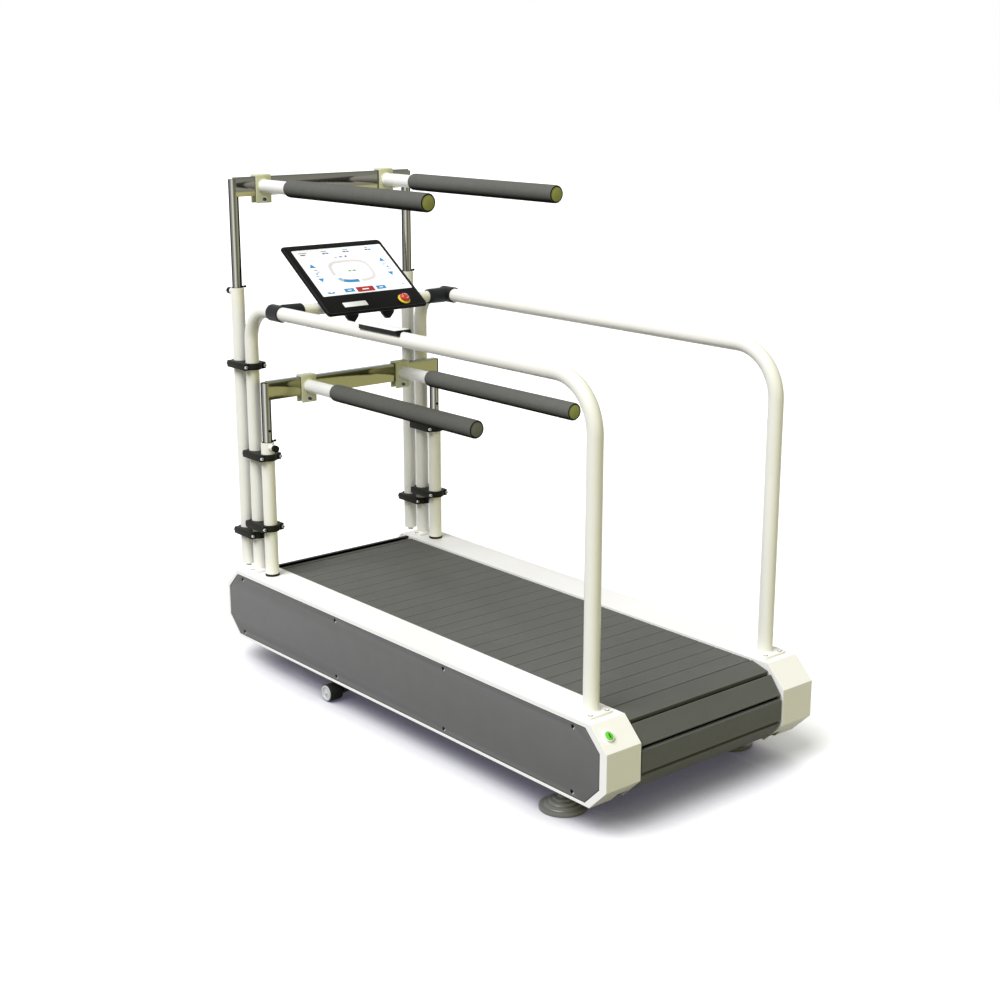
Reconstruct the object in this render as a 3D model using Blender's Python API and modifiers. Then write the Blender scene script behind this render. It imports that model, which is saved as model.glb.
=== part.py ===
"""Slat-belt treadmill ergometer for gait training, with two height-adjustable arm-support frames.

Metres, +Z up. +Y is the walking direction, towards the console, and +X is the walker's right.
The origin is on the floor, under the centre of the machine.
"""
import math

import bmesh
import bpy
from mathutils import Matrix, Vector

# Clearances
GAP = 0.0003
RUNNING_GAP = 0.0005

# Base
BASE_WIDTH = 0.735
BASE_LENGTH = 1.682
BASE_HEIGHT = 0.211
GROUND_CLEARANCE = 0.075
HOUSING_WIDTH = 0.1125
HOUSING_WALL = 0.0025
END_CHAMFER = 0.057
PANEL_REAR_BORDER = 0.024
PANEL_FRONT_BORDER = 0.0105
PANEL_TOP_BORDER = 0.0118
PANEL_BOTTOM_BORDER = 0.0075
PANEL_CORNER_CUT = 0.050
PANEL_THICKNESS = 0.003
PANEL_LIP = 0.014
LIP_THICKNESS = 0.0027
INNER_WINDOW_BORDER = 0.022
NOTCH_WIDTH = 0.038
NOTCH_HEIGHT = 0.023
NOTCH_LENGTH = 0.030

# Posts and rails
TUBE_RADIUS = 0.020
TUBE_WALL = 0.002
TUBE_SIDES = 16
POST_SIDE_INSET = 0.0565
POST_PITCH = 0.067
OUTER_SLEEVE_INSET = 0.0355
REAR_POST_INSET = 0.115
HANDRAIL_HEIGHT = 1.086
FRONT_BEND = 0.095
REAR_BEND = 0.130
FLANGE_THICKNESS = 0.006
REAR_FLANGE_SIZE = 0.075
FRONT_FLANGE_LENGTH = 0.050
FRONT_FLANGE_WIDTH = 0.064
OUTER_SLEEVE_TOP = 1.138
OUTER_SLEEVE_LIFT = 0.009
SLEEVE_STUD_RADIUS = 0.005
SLEEVE_NUT_RADIUS = 0.009
SLEEVE_NUT_HEIGHT = 0.004
SLEEVE_PLUG = 0.006
INNER_SLEEVE_TOP = 0.696
GUIDE_LENGTH = 0.045
LUG_RADIUS = 0.003
LUG_REACH = 0.029
LUG_RISE = 0.0015

# Arm frames
ROD_RADIUS = 0.01425
ROD_WALL = 0.0025
BAR_HEIGHT = 0.055
BAR_DEPTH = 0.020
BAR_OVERHANG = 0.005
BAR_FORWARD = 0.006
UPPER_BAR_HEIGHT = 1.4285
LOWER_BAR_HEIGHT = 0.851
UPPER_ROD_LENGTH = 0.720
LOWER_ROD_LENGTH = 0.480
UPPER_ARM_INSET = 0.090
LOWER_ARM_INSET = 0.138
ARM_REACH = 0.806
ARM_TUBE_RADIUS = 0.019
ARM_TUBE_WALL = 0.002
GRIP_RADIUS = 0.025
GRIP_LENGTH = 0.650
GRIP_END = 0.004
SADDLE_WIDTH = 0.050
SADDLE_PLATE = 0.006
SADDLE_DROP = 0.021
GRIP_SOFT_EDGE = 0.008
GRIP_SOFT_STEP = 0.0024
INDEX_PITCH = 0.048
INDEX_HOLE_RADIUS = 0.004
INDEX_HOLE_DEPTH = 0.002
INDEX_HOLES = 4
PIN_DROP = 0.0125

# Index plunger
PIN_RADIUS = 0.0037
PLUNGER_BOSS_RADIUS = 0.009
PLUNGER_BOSS_LENGTH = 0.014
KNOB_RADIUS = 0.010
KNOB_LENGTH = 0.0155

# Post clamps
CLAMP_HEIGHT = 0.0195
CLAMP_HALF_WIDTH = 0.037
CLAMP_EAR = 0.017
CLAMP_RING_RADIUS = 0.027
CLAMP_CORNER = 0.004
CLAMP_LEVELS = (
    ("outer", "upper", 0.915),
    ("inner", "upper", 0.6525),
    ("inner", "lower", 0.436),
    ("outer", "lower", 0.402),
)

# Belt, drums and drive
DRUM_HEIGHT = 0.103
REAR_DRUM_INSET = 0.103
FRONT_DRUM_INSET = 0.126
BELT_SIDE_GAP = 0.005
BELT_RADIUS = 0.102
SLAT_PITCH = 0.060
SLAT_GAP = 0.002
SLAT_THICKNESS = 0.0135
SLAT_PHASE = 0.5
HINGE_HALF_SPAN = 0.022
WEB_THICKNESS = 0.003
PULLEY_WIDTH = 0.045
PULLEY_INSET = 0.018
SHAFT_RADIUS = 0.015
DRUM_CORE_RADIUS = 0.040
DRIVEN_PULLEY_RADIUS = 0.070
MOTOR_PULLEY_RADIUS = 0.035
RIBBED_BELT_THICKNESS = 0.005
RIBBED_BELT_WIDTH = 0.022
RIBBED_BELT_OFFSET = 0.072
PULLEY_RIM = 0.002
MOTOR_RADIUS = 0.068
MOTOR_LENGTH = 0.230
MOTOR_PULLEY_SPACING = 0.347
MOTOR_DRUM_SPACING = 0.300
MOTOR_SHAFT_RADIUS = 0.011

# Inner frame
BEAM_WEB = 0.004
BEAM_DEPTH = 0.038
BEAM_HEIGHT = 0.130
BEAM_END_INSET = 0.060
CROSSMEMBER_WIDTH = 0.040
CROSSMEMBER_HEIGHT = 0.070
CROSSMEMBER_WALL = 0.003
FRONT_CROSSMEMBER_INSET = 0.545
REAR_CROSSMEMBER_INSET = 0.420
ROLLER_RADIUS = 0.012
ROLLER_WIDTH = 0.026
ROLLER_SPACING = 0.150
RAIL_WIDTH = 0.012
RAIL_HEIGHT = 0.030
RAIL_DRUM_CLEARANCE = 0.020
CONTROLLER_SIZE = (0.300, 0.180, 0.090)

# Lift
LIFT_SHAFT_INSET = 0.281
LIFT_SHAFT_HEIGHT = 0.040
LIFT_SHAFT_RADIUS = 0.014
LIFT_ARM_THICKNESS = 0.012
LIFT_ARM_BOSS = 0.022
WHEEL_RADIUS = 0.025
WHEEL_WIDTH = 0.046
WHEEL_REACH = 0.237
WHEEL_SIDE_INSET = 0.0025
WHEEL_AXLE_RADIUS = 0.005
AXLE_HEAD_RADIUS = 0.011
LIFT_ANGLE = 30.0
GEARBOX_SIZE = (0.110, 0.104, 0.090)
GEARBOX_MOTOR_RADIUS = 0.036
GEARBOX_MOTOR_LENGTH = 0.140

# Levelling feet
FOOT_RADIUS = 0.061
FOOT_SIDE_INSET = 0.0635
FOOT_INSET = 0.216
FOOT_HEIGHT = 0.038
STEM_RADIUS = 0.007
FOOT_LUG_THICKNESS = 0.012
FOOT_LUG_LENGTH = 0.060
FOOT_TRAVEL = 0.015

# Console
CROSS_TUBE_RADIUS = 0.0175
CROSS_TUBE_SETBACK = 0.1435
CONNECTOR_FRONT = 0.0245
CONNECTOR_REAR = 0.031
CONNECTOR_WALL = 0.004
CONNECTOR_SOCKET = 0.083
CONNECTOR_TIP_RADIUS = 0.0215
CONSOLE_WIDTH = 0.360
CONSOLE_DEPTH = 0.303
CONSOLE_RIM = 0.010
CONSOLE_THICKNESS = 0.034
CONSOLE_BACK_INSET = 0.030
CONSOLE_CORNER = 0.012
CONSOLE_SLOPE = 35.2
CONSOLE_FORWARD = 0.0539
CONSOLE_RISE = 0.0772
SCREEN_WIDTH = 0.322
SCREEN_DEPTH = 0.203
SCREEN_THICKNESS = 0.002
SCREEN_OFFSET_X = 0.007
SCREEN_OFFSET_Y = 0.027
STOP_X = 0.108
STOP_Y = -0.120
STOP_HEAD_RADIUS = 0.015
STOP_HEAD_HEIGHT = 0.010
STOP_STEM_RADIUS = 0.008
STOP_TRAVEL = 0.004
STOP_STEM_DEPTH = 0.004
MOUNT_SPACING = 0.129
MOUNT_DROP = 0.030
MOUNT_TOP_WIDTH = 0.042
MOUNT_FOOT_WIDTH = 0.018
MOUNT_TAPER = 0.019
MOUNT_DEPTH = 0.050
MOUNT_TAB_DEPTH = 0.014
MOUNT_LAP = 0.005
MOUNT_COVER = 0.012

# Tray on the left handrail
TRAY_SETBACK = 0.5825
TRAY_WIDTH = 0.052
TRAY_FOOT_WIDTH = 0.0445
TRAY_LENGTH = 0.158
TRAY_RISE = 0.024
TRAY_FOOT_RISE = 0.012
TRAY_FRONT_FLARE = 0.006
TRAY_REAR_FLARE = 0.013
TRAY_ARCH_STEPS = 10

# Start button
BUTTON_RADIUS = 0.0105
BUTTON_LENGTH = 0.019
BUTTON_PROUD = 0.0045
BUTTON_TRAVEL = 0.003
BUTTON_SIDE_INSET = 0.031

# Front cover
COVER_THICKNESS = 0.003
COVER_LIP_INSET = 0.0985
COVER_LIP_LENGTH = 0.0125
COVER_SLOPE = 30

# Worked out from the values above
KNOB_REACH = TUBE_RADIUS + PLUNGER_BOSS_LENGTH + GAP + KNOB_LENGTH
FRONT_OVERHANG = max(0.0, KNOB_REACH - OUTER_SLEEVE_INSET)
BASE_CENTRE_Y = -FRONT_OVERHANG / 2
FRONT_END = BASE_CENTRE_Y + BASE_LENGTH / 2
REAR_END = BASE_CENTRE_Y - BASE_LENGTH / 2
SIDE_FACE = BASE_WIDTH / 2
INNER_FACE = SIDE_FACE - HOUSING_WIDTH
BELT_WIDTH = 2 * (INNER_FACE - BELT_SIDE_GAP)
RIBBED_BELT_X = INNER_FACE + RIBBED_BELT_OFFSET
MOTOR_X = RIBBED_BELT_X - MOTOR_PULLEY_SPACING
POST_X = SIDE_FACE - POST_SIDE_INSET
UPPER_ARM_X = POST_X - UPPER_ARM_INSET
LOWER_ARM_X = POST_X - LOWER_ARM_INSET
FOOT_X = SIDE_FACE - FOOT_SIDE_INSET
DECK_TOP = GROUND_CLEARANCE + BASE_HEIGHT
OUTER_SLEEVE_Y = FRONT_END - OUTER_SLEEVE_INSET
FRONT_LEG_Y = OUTER_SLEEVE_Y - POST_PITCH
INNER_SLEEVE_Y = FRONT_LEG_Y - POST_PITCH
REAR_LEG_Y = REAR_END + REAR_POST_INSET
DRUM_Z = GROUND_CLEARANCE + DRUM_HEIGHT
REAR_DRUM_Y = REAR_END + REAR_DRUM_INSET
FRONT_DRUM_Y = FRONT_END - FRONT_DRUM_INSET
HINGE_RADIUS = math.hypot(BELT_RADIUS - SLAT_THICKNESS, HINGE_HALF_SPAN)
WEB_INNER = BELT_RADIUS - SLAT_THICKNESS - WEB_THICKNESS
PULLEY_RADIUS = WEB_INNER - RUNNING_GAP
MOTOR_Y = FRONT_DRUM_Y - MOTOR_DRUM_SPACING
CROSS_TUBE_Y = FRONT_LEG_Y - CROSS_TUBE_SETBACK
BEAM_INNER = INNER_FACE + HOUSING_WALL + GAP
BEAM_BOTTOM = GROUND_CLEARANCE + HOUSING_WALL + GAP
LIFT_SHAFT_Y = FRONT_END - LIFT_SHAFT_INSET
LIFT_SHAFT_Z = GROUND_CLEARANCE + LIFT_SHAFT_HEIGHT
WHEEL_Y = LIFT_SHAFT_Y - WHEEL_REACH
LIFT_ARM_X = BEAM_INNER + BEAM_DEPTH + GAP
FOOT_Y = REAR_END + FOOT_INSET

SIDES = (("left", -1), ("right", 1))
PARTS = bpy.data.collections.new("treadmill_ergometer")
CUTTERS = bpy.data.collections.new("cutters")

YZ_PLANE = Matrix(((0, 0, 1), (1, 0, 0), (0, 1, 0))).to_4x4()
XZ_PLANE = Matrix(((1, 0, 0), (0, 0, -1), (0, 1, 0))).to_4x4()


def clear_scene():
    for thing in list(bpy.data.objects):
        bpy.data.objects.remove(thing, do_unlink=True)
    for group in (PARTS, CUTTERS):
        bpy.context.scene.collection.children.link(group)


def make_material(name, colour, roughness, metallic=0.0):
    made = bpy.data.materials.new(name)
    made.use_nodes = True
    shader = made.node_tree.nodes["Principled BSDF"]
    shader.inputs["Base Color"].default_value = (*colour, 1.0)
    shader.inputs["Roughness"].default_value = roughness
    shader.inputs["Metallic"].default_value = metallic
    return made


WHITE = make_material("white_paint", (0.86, 0.86, 0.83), 0.35)
GREY = make_material("grey_panel", (0.14, 0.14, 0.14), 0.5)
SLAT = make_material("slat_rubber", (0.13, 0.13, 0.12), 0.75)
BLACK = make_material("black_plastic", (0.025, 0.025, 0.025), 0.45)
CHROME = make_material("chrome_rod", (0.75, 0.75, 0.74), 0.12, 1.0)
STEEL = make_material("stainless_bar", (0.62, 0.61, 0.58), 0.28, 1.0)
FOAM = make_material("foam_grip", (0.16, 0.16, 0.15), 0.85)
FRAME = make_material("frame_paint", (0.10, 0.10, 0.11), 0.5, 0.0)
CAST = make_material("motor_casing", (0.22, 0.24, 0.26), 0.45, 0.6)
RUBBER = make_material("black_rubber", (0.03, 0.03, 0.03), 0.8)
FOOT = make_material("grey_foot", (0.16, 0.16, 0.15), 0.55)
GLASS = make_material("screen_glass", (0.80, 0.82, 0.84), 0.1)
RED = make_material("red_plastic", (0.75, 0.03, 0.02), 0.3)
GREEN = make_material("green_plastic", (0.10, 0.75, 0.08), 0.3)


def add(name, mesh, material, matrix=None):
    """Put a mesh into the scene as a part with its own material."""
    thing = bpy.data.objects.new(name, mesh)
    mesh.materials.clear()
    mesh.materials.append(material)
    PARTS.objects.link(thing)
    if matrix is not None:
        thing.matrix_world = matrix
    return thing


def box(name, low, high, material):
    low, high = Vector(map(min, low, high)), Vector(map(max, low, high))
    form = bmesh.new()
    scale = Matrix.Diagonal((*(high - low), 1.0))
    bmesh.ops.create_cube(form, size=1.0, matrix=scale)
    mesh = bpy.data.meshes.new(name)
    form.to_mesh(mesh)
    form.free()
    return add(name, mesh, material, Matrix.Translation((low + high) / 2))


def along(start, end):
    """A matrix that carries local Z, centred, onto the line from start to end."""
    start, end = Vector(start), Vector(end)
    turn = (end - start).to_track_quat("Z", "Y").to_matrix().to_4x4()
    return Matrix.Translation((start + end) / 2) @ turn


def rod(name, start, end, radius, material, sides=TUBE_SIDES, end_radius=None):
    form = bmesh.new()
    length = (Vector(end) - Vector(start)).length
    end_radius = radius if end_radius is None else end_radius
    bmesh.ops.create_cone(form, cap_ends=True, segments=sides, radius1=radius,
                          radius2=end_radius, depth=length)
    mesh = bpy.data.meshes.new(name)
    form.to_mesh(mesh)
    form.free()
    return add(name, mesh, material, along(start, end))


def as_mesh(curve_object, material, weld=True):
    """Swap a curve object for a welded mesh object of the same name and place."""
    name = curve_object.name
    place = curve_object.matrix_world.copy()
    bpy.context.view_layer.update()
    depsgraph = bpy.context.evaluated_depsgraph_get()
    mesh = bpy.data.meshes.new_from_object(curve_object.evaluated_get(depsgraph))
    bpy.data.objects.remove(curve_object, do_unlink=True)
    if weld:
        form = bmesh.new()
        form.from_mesh(mesh)
        bmesh.ops.remove_doubles(form, verts=form.verts, dist=1e-6)
        bmesh.ops.recalc_face_normals(form, faces=form.faces)
        form.to_mesh(mesh)
        form.free()
    return add(name, mesh, material, place)


def prism(name, outlines, start, end, plane, material):
    """Extrude flat outlines (the first one solid, the rest holes) from start to end."""
    curve = bpy.data.curves.new(name, "CURVE")
    curve.dimensions = "2D"
    curve.fill_mode = "BOTH"
    curve.extrude = abs(end - start) / 2
    for outline in outlines:
        spline = curve.splines.new("POLY")
        spline.points.add(len(outline) - 1)
        for point, (across, up) in zip(spline.points, outline):
            point.co = (across, up, 0.0, 1.0)
        spline.use_cyclic_u = True
    shape = bpy.data.objects.new(name, curve)
    PARTS.objects.link(shape)
    shape.matrix_world = plane @ Matrix.Translation((0, 0, (start + end) / 2))
    bpy.context.view_layer.update()
    return as_mesh(shape, material)


def turned(name, profile, matrix, material, steps=TUBE_SIDES):
    """Turn a profile of (radius, height) points, down its outer side, about the local Z of matrix.

    A profile that starts or ends off the axis is closed into a ring.
    """
    mesh = bpy.data.meshes.new(name)
    points = [(radius, 0.0, height) for radius, height in profile]
    edges = [(i, i + 1) for i in range(len(points) - 1)]
    if profile[0][0] or profile[-1][0]:
        edges.append((len(points) - 1, 0))
    mesh.from_pydata(points, edges, [])
    thing = add(name, mesh, material, matrix)
    screw = thing.modifiers.new("turn", "SCREW")
    screw.axis = "Z"
    screw.angle = 2 * math.pi
    screw.steps = steps
    screw.render_steps = steps
    screw.use_merge_vertices = True
    screw.merge_threshold = 0.00001
    return thing


def pipe(name, points, radius, wall, material, sides=TUBE_SIDES):
    """A hollow tube swept along points."""
    curve = bpy.data.curves.new(name, "CURVE")
    curve.dimensions = "3D"
    curve.bevel_depth = radius
    curve.bevel_resolution = sides // 2 - 2
    spline = curve.splines.new("POLY")
    spline.points.add(len(points) - 1)
    for point, place in zip(spline.points, points):
        point.co = (*place, 1.0)
    shape = bpy.data.objects.new(name, curve)
    PARTS.objects.link(shape)
    tube = as_mesh(shape, material)
    shell = tube.modifiers.new("wall", "SOLIDIFY")
    shell.thickness = wall
    shell.offset = -1.0
    return tube


def boolean(target, tool, operation):
    PARTS.objects.unlink(tool)
    CUTTERS.objects.link(tool)
    tool.hide_render = True
    tool.display_type = "WIRE"
    step = target.modifiers.new(operation.lower(), "BOOLEAN")
    step.operation = operation
    step.object = tool
    return target


def cut(target, *tools):
    for tool in tools:
        boolean(target, tool, "DIFFERENCE")
    return target


def fuse(target, *tools):
    for tool in tools:
        boolean(target, tool, "UNION")
    return target


def joint_empty(name, place):
    empty = bpy.data.objects.new(name, None)
    empty.empty_display_size = 0.05
    PARTS.objects.link(empty)
    empty.location = place
    bpy.context.view_layer.update()
    return empty


def carry(empty, *pieces):
    """Parent pieces to a joint's empty and leave them where they are."""
    for piece in pieces:
        piece.parent = empty
        piece.matrix_parent_inverse = empty.matrix_world.inverted()


def arc(centre, radius, start, end, steps):
    """Points on a circle between two angles in degrees, in a plane."""
    angles = [math.radians(start + (end - start) * i / steps) for i in range(steps + 1)]
    return [(centre[0] + radius * math.cos(a), centre[1] + radius * math.sin(a)) for a in angles]


def octagon(inset):
    """Side outline of the base, drawn in by inset all round, as (y, z) points."""
    rear, front = REAR_END + inset, FRONT_END - inset
    low, high = GROUND_CLEARANCE + inset, DECK_TOP - inset
    cut_back = END_CHAMFER - inset * (2 - math.sqrt(2))
    return [
        (rear + cut_back, low), (front - cut_back, low), (front, low + cut_back),
        (front, high - cut_back), (front - cut_back, high), (rear + cut_back, high),
        (rear, high - cut_back), (rear, low + cut_back),
    ]


def panel_outline(inset):
    """Outline of the side panel's seat, drawn in by inset all round, as (y, z) points."""
    rear, front = REAR_END + PANEL_REAR_BORDER + inset, FRONT_END - PANEL_FRONT_BORDER - inset
    low = GROUND_CLEARANCE + PANEL_BOTTOM_BORDER + inset
    high = DECK_TOP - PANEL_TOP_BORDER - inset
    cut_back = PANEL_CORNER_CUT - inset * (2 - math.sqrt(2))
    return [
        (rear + cut_back, low), (front - cut_back, low), (front, low + cut_back),
        (front, high - cut_back), (front - cut_back, high), (rear + cut_back, high),
        (rear, high - cut_back), (rear, low + cut_back),
    ]


def housing(label, side):
    """White side housing: a thin box with a lipped opening for the panel."""
    name = f"{label}_housing"
    outer, inner = side * SIDE_FACE, side * INNER_FACE
    recess = PANEL_THICKNESS + GAP
    shell = prism(name, [octagon(0)], inner, outer, YZ_PLANE, WHITE)
    lip_inner = outer - side * (recess + LIP_THICKNESS)
    wall_inner = inner + side * HOUSING_WALL
    room = prism(f"{name}_room", [octagon(HOUSING_WALL)], wall_inner, lip_inner, YZ_PLANE, WHITE)
    seat = prism(f"{name}_seat", [panel_outline(0)], outer - side * recess,
                 outer + side * recess, YZ_PLANE, WHITE)
    window = prism(f"{name}_window", [panel_outline(PANEL_LIP)],
                   lip_inner - side * HOUSING_WALL, outer, YZ_PLANE, WHITE)
    opening = prism(f"{name}_opening", [octagon(INNER_WINDOW_BORDER)],
                    inner - side * HOUSING_WALL, wall_inner + side * HOUSING_WALL, YZ_PLANE, WHITE)
    cut(shell, room, seat, window, opening)
    slot_x = side * LIFT_ARM_X
    slot = box(f"{name}_lift_slot",
               (slot_x - side * 0.006, WHEEL_Y + 0.030, GROUND_CLEARANCE - 0.01),
               (slot_x + side * (LIFT_ARM_THICKNESS + 0.006), LIFT_SHAFT_Y + 0.060,
                GROUND_CLEARANCE + 0.01), WHITE)
    stem = rod(f"{name}_stem_hole", (side * FOOT_X, FOOT_Y, GROUND_CLEARANCE - 0.01),
               (side * FOOT_X, FOOT_Y, GROUND_CLEARANCE + 0.01), STEM_RADIUS + 0.003, WHITE)
    notch_x = inner + side * HOUSING_WALL
    notch = box(f"{name}_notch",
                (notch_x, REAR_END + END_CHAMFER - NOTCH_HEIGHT, GROUND_CLEARANCE - 0.01),
                (notch_x + side * NOTCH_WIDTH, REAR_END + END_CHAMFER - NOTCH_HEIGHT + NOTCH_LENGTH,
                 GROUND_CLEARANCE + NOTCH_HEIGHT), WHITE)
    cut(shell, slot, stem, notch)
    return shell


def side_panel(label, side):
    outer = side * SIDE_FACE
    outline = panel_outline(GAP)
    return prism(f"{label}_side_panel", [outline], outer - side * PANEL_THICKNESS, outer,
                 YZ_PLANE, GREY)


def front_cover():
    """Dark sheet that closes the front end between the housings, lipped over the belt."""
    def skin(inset):
        low, high = GROUND_CLEARANCE + inset, DECK_TOP - inset
        front = FRONT_END - inset
        cut_back = END_CHAMFER - inset * (2 - math.sqrt(2))
        lip = FRONT_END - COVER_LIP_INSET
        slope = math.radians(COVER_SLOPE)
        crest = lip + COVER_LIP_LENGTH - inset * math.tan(slope / 2)
        # Length of the slope, from the crest to the line of the 45 degree chamfer
        run = (front - cut_back - crest) / (math.cos(slope) - math.sin(slope))
        knee = (crest + run * math.cos(slope), high - run * math.sin(slope))
        return [(lip, high), (crest, high), knee, (front, high - cut_back),
                (front, low + cut_back), (front - cut_back, low)]
    outline = skin(0.001) + skin(0.001 + COVER_THICKNESS)[::-1]
    reach = INNER_FACE - GAP
    return prism("front_cover", [outline], -reach, reach, YZ_PLANE, BLACK)


def belt_path(distance):
    """Point (y, z) on the line of the slat hinges, and its length when distance is None."""
    straight = FRONT_DRUM_Y - REAR_DRUM_Y
    half_turn = math.pi * HINGE_RADIUS
    total = 2 * (straight + half_turn)
    if distance is None:
        return total
    distance %= total
    if distance < straight:
        return REAR_DRUM_Y + distance, DRUM_Z + HINGE_RADIUS
    distance -= straight
    if distance < half_turn:
        angle = distance / HINGE_RADIUS
        return (FRONT_DRUM_Y + HINGE_RADIUS * math.sin(angle),
                DRUM_Z + HINGE_RADIUS * math.cos(angle))
    distance -= half_turn
    if distance < straight:
        return FRONT_DRUM_Y - distance, DRUM_Z - HINGE_RADIUS
    angle = (distance - straight) / HINGE_RADIUS
    return (REAR_DRUM_Y - HINGE_RADIUS * math.sin(angle),
            DRUM_Z - HINGE_RADIUS * math.cos(angle))


def slat_belt():
    """Endless belt of stiff slats on a thin web, one outline with its slat gaps."""
    total = belt_path(None)
    count = round(total / SLAT_PITCH)
    pitch = total / count
    middle = total - math.pi * HINGE_RADIUS / 2
    half = (pitch - SLAT_GAP) / 2
    outer, inner = [], []
    for i in range(count):
        centre = middle + (i + SLAT_PHASE - 0.5) * pitch
        back = Vector(belt_path(centre - HINGE_HALF_SPAN))
        front = Vector(belt_path(centre + HINGE_HALF_SPAN))
        tangent = (front - back).normalized()
        outward = Vector((-tangent.y, tangent.x))
        seat = (front + back) / 2
        rear_edge, front_edge = seat - tangent * half, seat + tangent * half
        outer += [rear_edge, rear_edge + outward * SLAT_THICKNESS,
                  front_edge + outward * SLAT_THICKNESS, front_edge]
        inner += [rear_edge - outward * WEB_THICKNESS, front_edge - outward * WEB_THICKNESS]
    return prism("slat_belt", [outer, inner], -BELT_WIDTH / 2, BELT_WIDTH / 2, YZ_PLANE, SLAT)


def x_axis_matrix(y, z):
    """Local Z along world X, at the given y and z."""
    return Matrix.Translation((0, y, z)) @ Matrix.Rotation(math.radians(90), 4, "Y")


def drum(name, y, right_reach):
    """Shaft with two belt pulleys on a stiff core, turned about X."""
    outer = BELT_WIDTH / 2 - PULLEY_INSET
    inner = outer - PULLEY_WIDTH
    reach = BEAM_INNER + BEAM_WEB + 0.010
    profile = [(0, right_reach), (SHAFT_RADIUS, right_reach), (SHAFT_RADIUS, outer),
               (PULLEY_RADIUS, outer), (PULLEY_RADIUS, inner), (DRUM_CORE_RADIUS, inner),
               (DRUM_CORE_RADIUS, -inner), (PULLEY_RADIUS, -inner), (PULLEY_RADIUS, -outer),
               (SHAFT_RADIUS, -outer), (SHAFT_RADIUS, -reach), (0, -reach)]
    return turned(name, profile, x_axis_matrix(y, DRUM_Z), CAST, steps=24)


def drive_drum():
    """Front drum, with the ribbed belt's pulley on its right end."""
    low, high = RIBBED_BELT_X - RIBBED_BELT_WIDTH / 2, RIBBED_BELT_X + RIBBED_BELT_WIDTH / 2
    body = drum("drive_drum", FRONT_DRUM_Y, low)
    rim = DRIVEN_PULLEY_RADIUS + PULLEY_RIM
    profile = [(0, high + PULLEY_RIM), (rim, high + PULLEY_RIM), (rim, high + GAP),
               (DRIVEN_PULLEY_RADIUS, high + GAP), (DRIVEN_PULLEY_RADIUS, low - GAP),
               (rim, low - GAP), (rim, low - PULLEY_RIM), (0, low - PULLEY_RIM)]
    pulley = turned("driven_pulley", profile, x_axis_matrix(FRONT_DRUM_Y, DRUM_Z), CAST, steps=24)
    return fuse(body, pulley)


def motor_pulley():
    """Motor shaft with its pulley, turned as one."""
    low, high = RIBBED_BELT_X - RIBBED_BELT_WIDTH / 2, RIBBED_BELT_X + RIBBED_BELT_WIDTH / 2
    rim = MOTOR_PULLEY_RADIUS + PULLEY_RIM
    start = MOTOR_X + MOTOR_LENGTH / 2 - 0.040
    profile = [(0, high + PULLEY_RIM), (rim, high + PULLEY_RIM), (rim, high + GAP),
               (MOTOR_PULLEY_RADIUS, high + GAP), (MOTOR_PULLEY_RADIUS, low - GAP),
               (rim, low - GAP), (rim, low - PULLEY_RIM), (MOTOR_SHAFT_RADIUS, low - PULLEY_RIM),
               (MOTOR_SHAFT_RADIUS, start), (0, start)]
    return turned("motor_pulley", profile, x_axis_matrix(MOTOR_Y, DRUM_Z), CAST, steps=24)


def belt_loop(offset):
    """Outline round both ribbed-belt pulleys, offset outwards, as (y, z) points."""
    spacing = FRONT_DRUM_Y - MOTOR_Y
    lean = math.degrees(math.asin((DRIVEN_PULLEY_RADIUS - MOTOR_PULLEY_RADIUS) / spacing))
    big = arc((FRONT_DRUM_Y, DRUM_Z), DRIVEN_PULLEY_RADIUS + offset, -90 - lean, 90 + lean, 16)
    small = arc((MOTOR_Y, DRUM_Z), MOTOR_PULLEY_RADIUS + offset, 90 + lean, 270 - lean, 10)
    return big + small


def drive_belt():
    low, high = RIBBED_BELT_X - RIBBED_BELT_WIDTH / 2, RIBBED_BELT_X + RIBBED_BELT_WIDTH / 2
    outlines = [belt_loop(RUNNING_GAP + RIBBED_BELT_THICKNESS), belt_loop(RUNNING_GAP)]
    return prism("drive_belt", outlines, low, high, YZ_PLANE, RUBBER)


def drive_motor():
    """Motor case with end bells, bored for its shaft, on a foot that meets the cross member."""
    centre = (MOTOR_X, MOTOR_Y, DRUM_Z)
    half = MOTOR_LENGTH / 2
    case_profile = [(0, half), (MOTOR_RADIUS * 0.72, half), (MOTOR_RADIUS, half - 0.020),
                    (MOTOR_RADIUS, -half + 0.020), (MOTOR_RADIUS * 0.72, -half), (0, -half)]
    case = turned("drive_motor", case_profile,
                  Matrix.Translation(centre) @ Matrix.Rotation(math.radians(90), 4, "Y"), CAST, 24)
    foot_rear = FRONT_END - FRONT_CROSSMEMBER_INSET + CROSSMEMBER_WIDTH / 2 + GAP
    foot = box("drive_motor_foot", (MOTOR_X - half * 0.6, foot_rear, DRUM_Z - 0.022),
               (MOTOR_X + half * 0.6, MOTOR_Y, DRUM_Z + 0.022), CAST)
    bore = rod("drive_motor_bore", (MOTOR_X + half - 0.041, MOTOR_Y, DRUM_Z),
               (MOTOR_X + half + 0.010, MOTOR_Y, DRUM_Z), MOTOR_SHAFT_RADIUS + GAP, CAST, 24)
    fuse(case, foot)
    return cut(case, bore)


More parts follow.
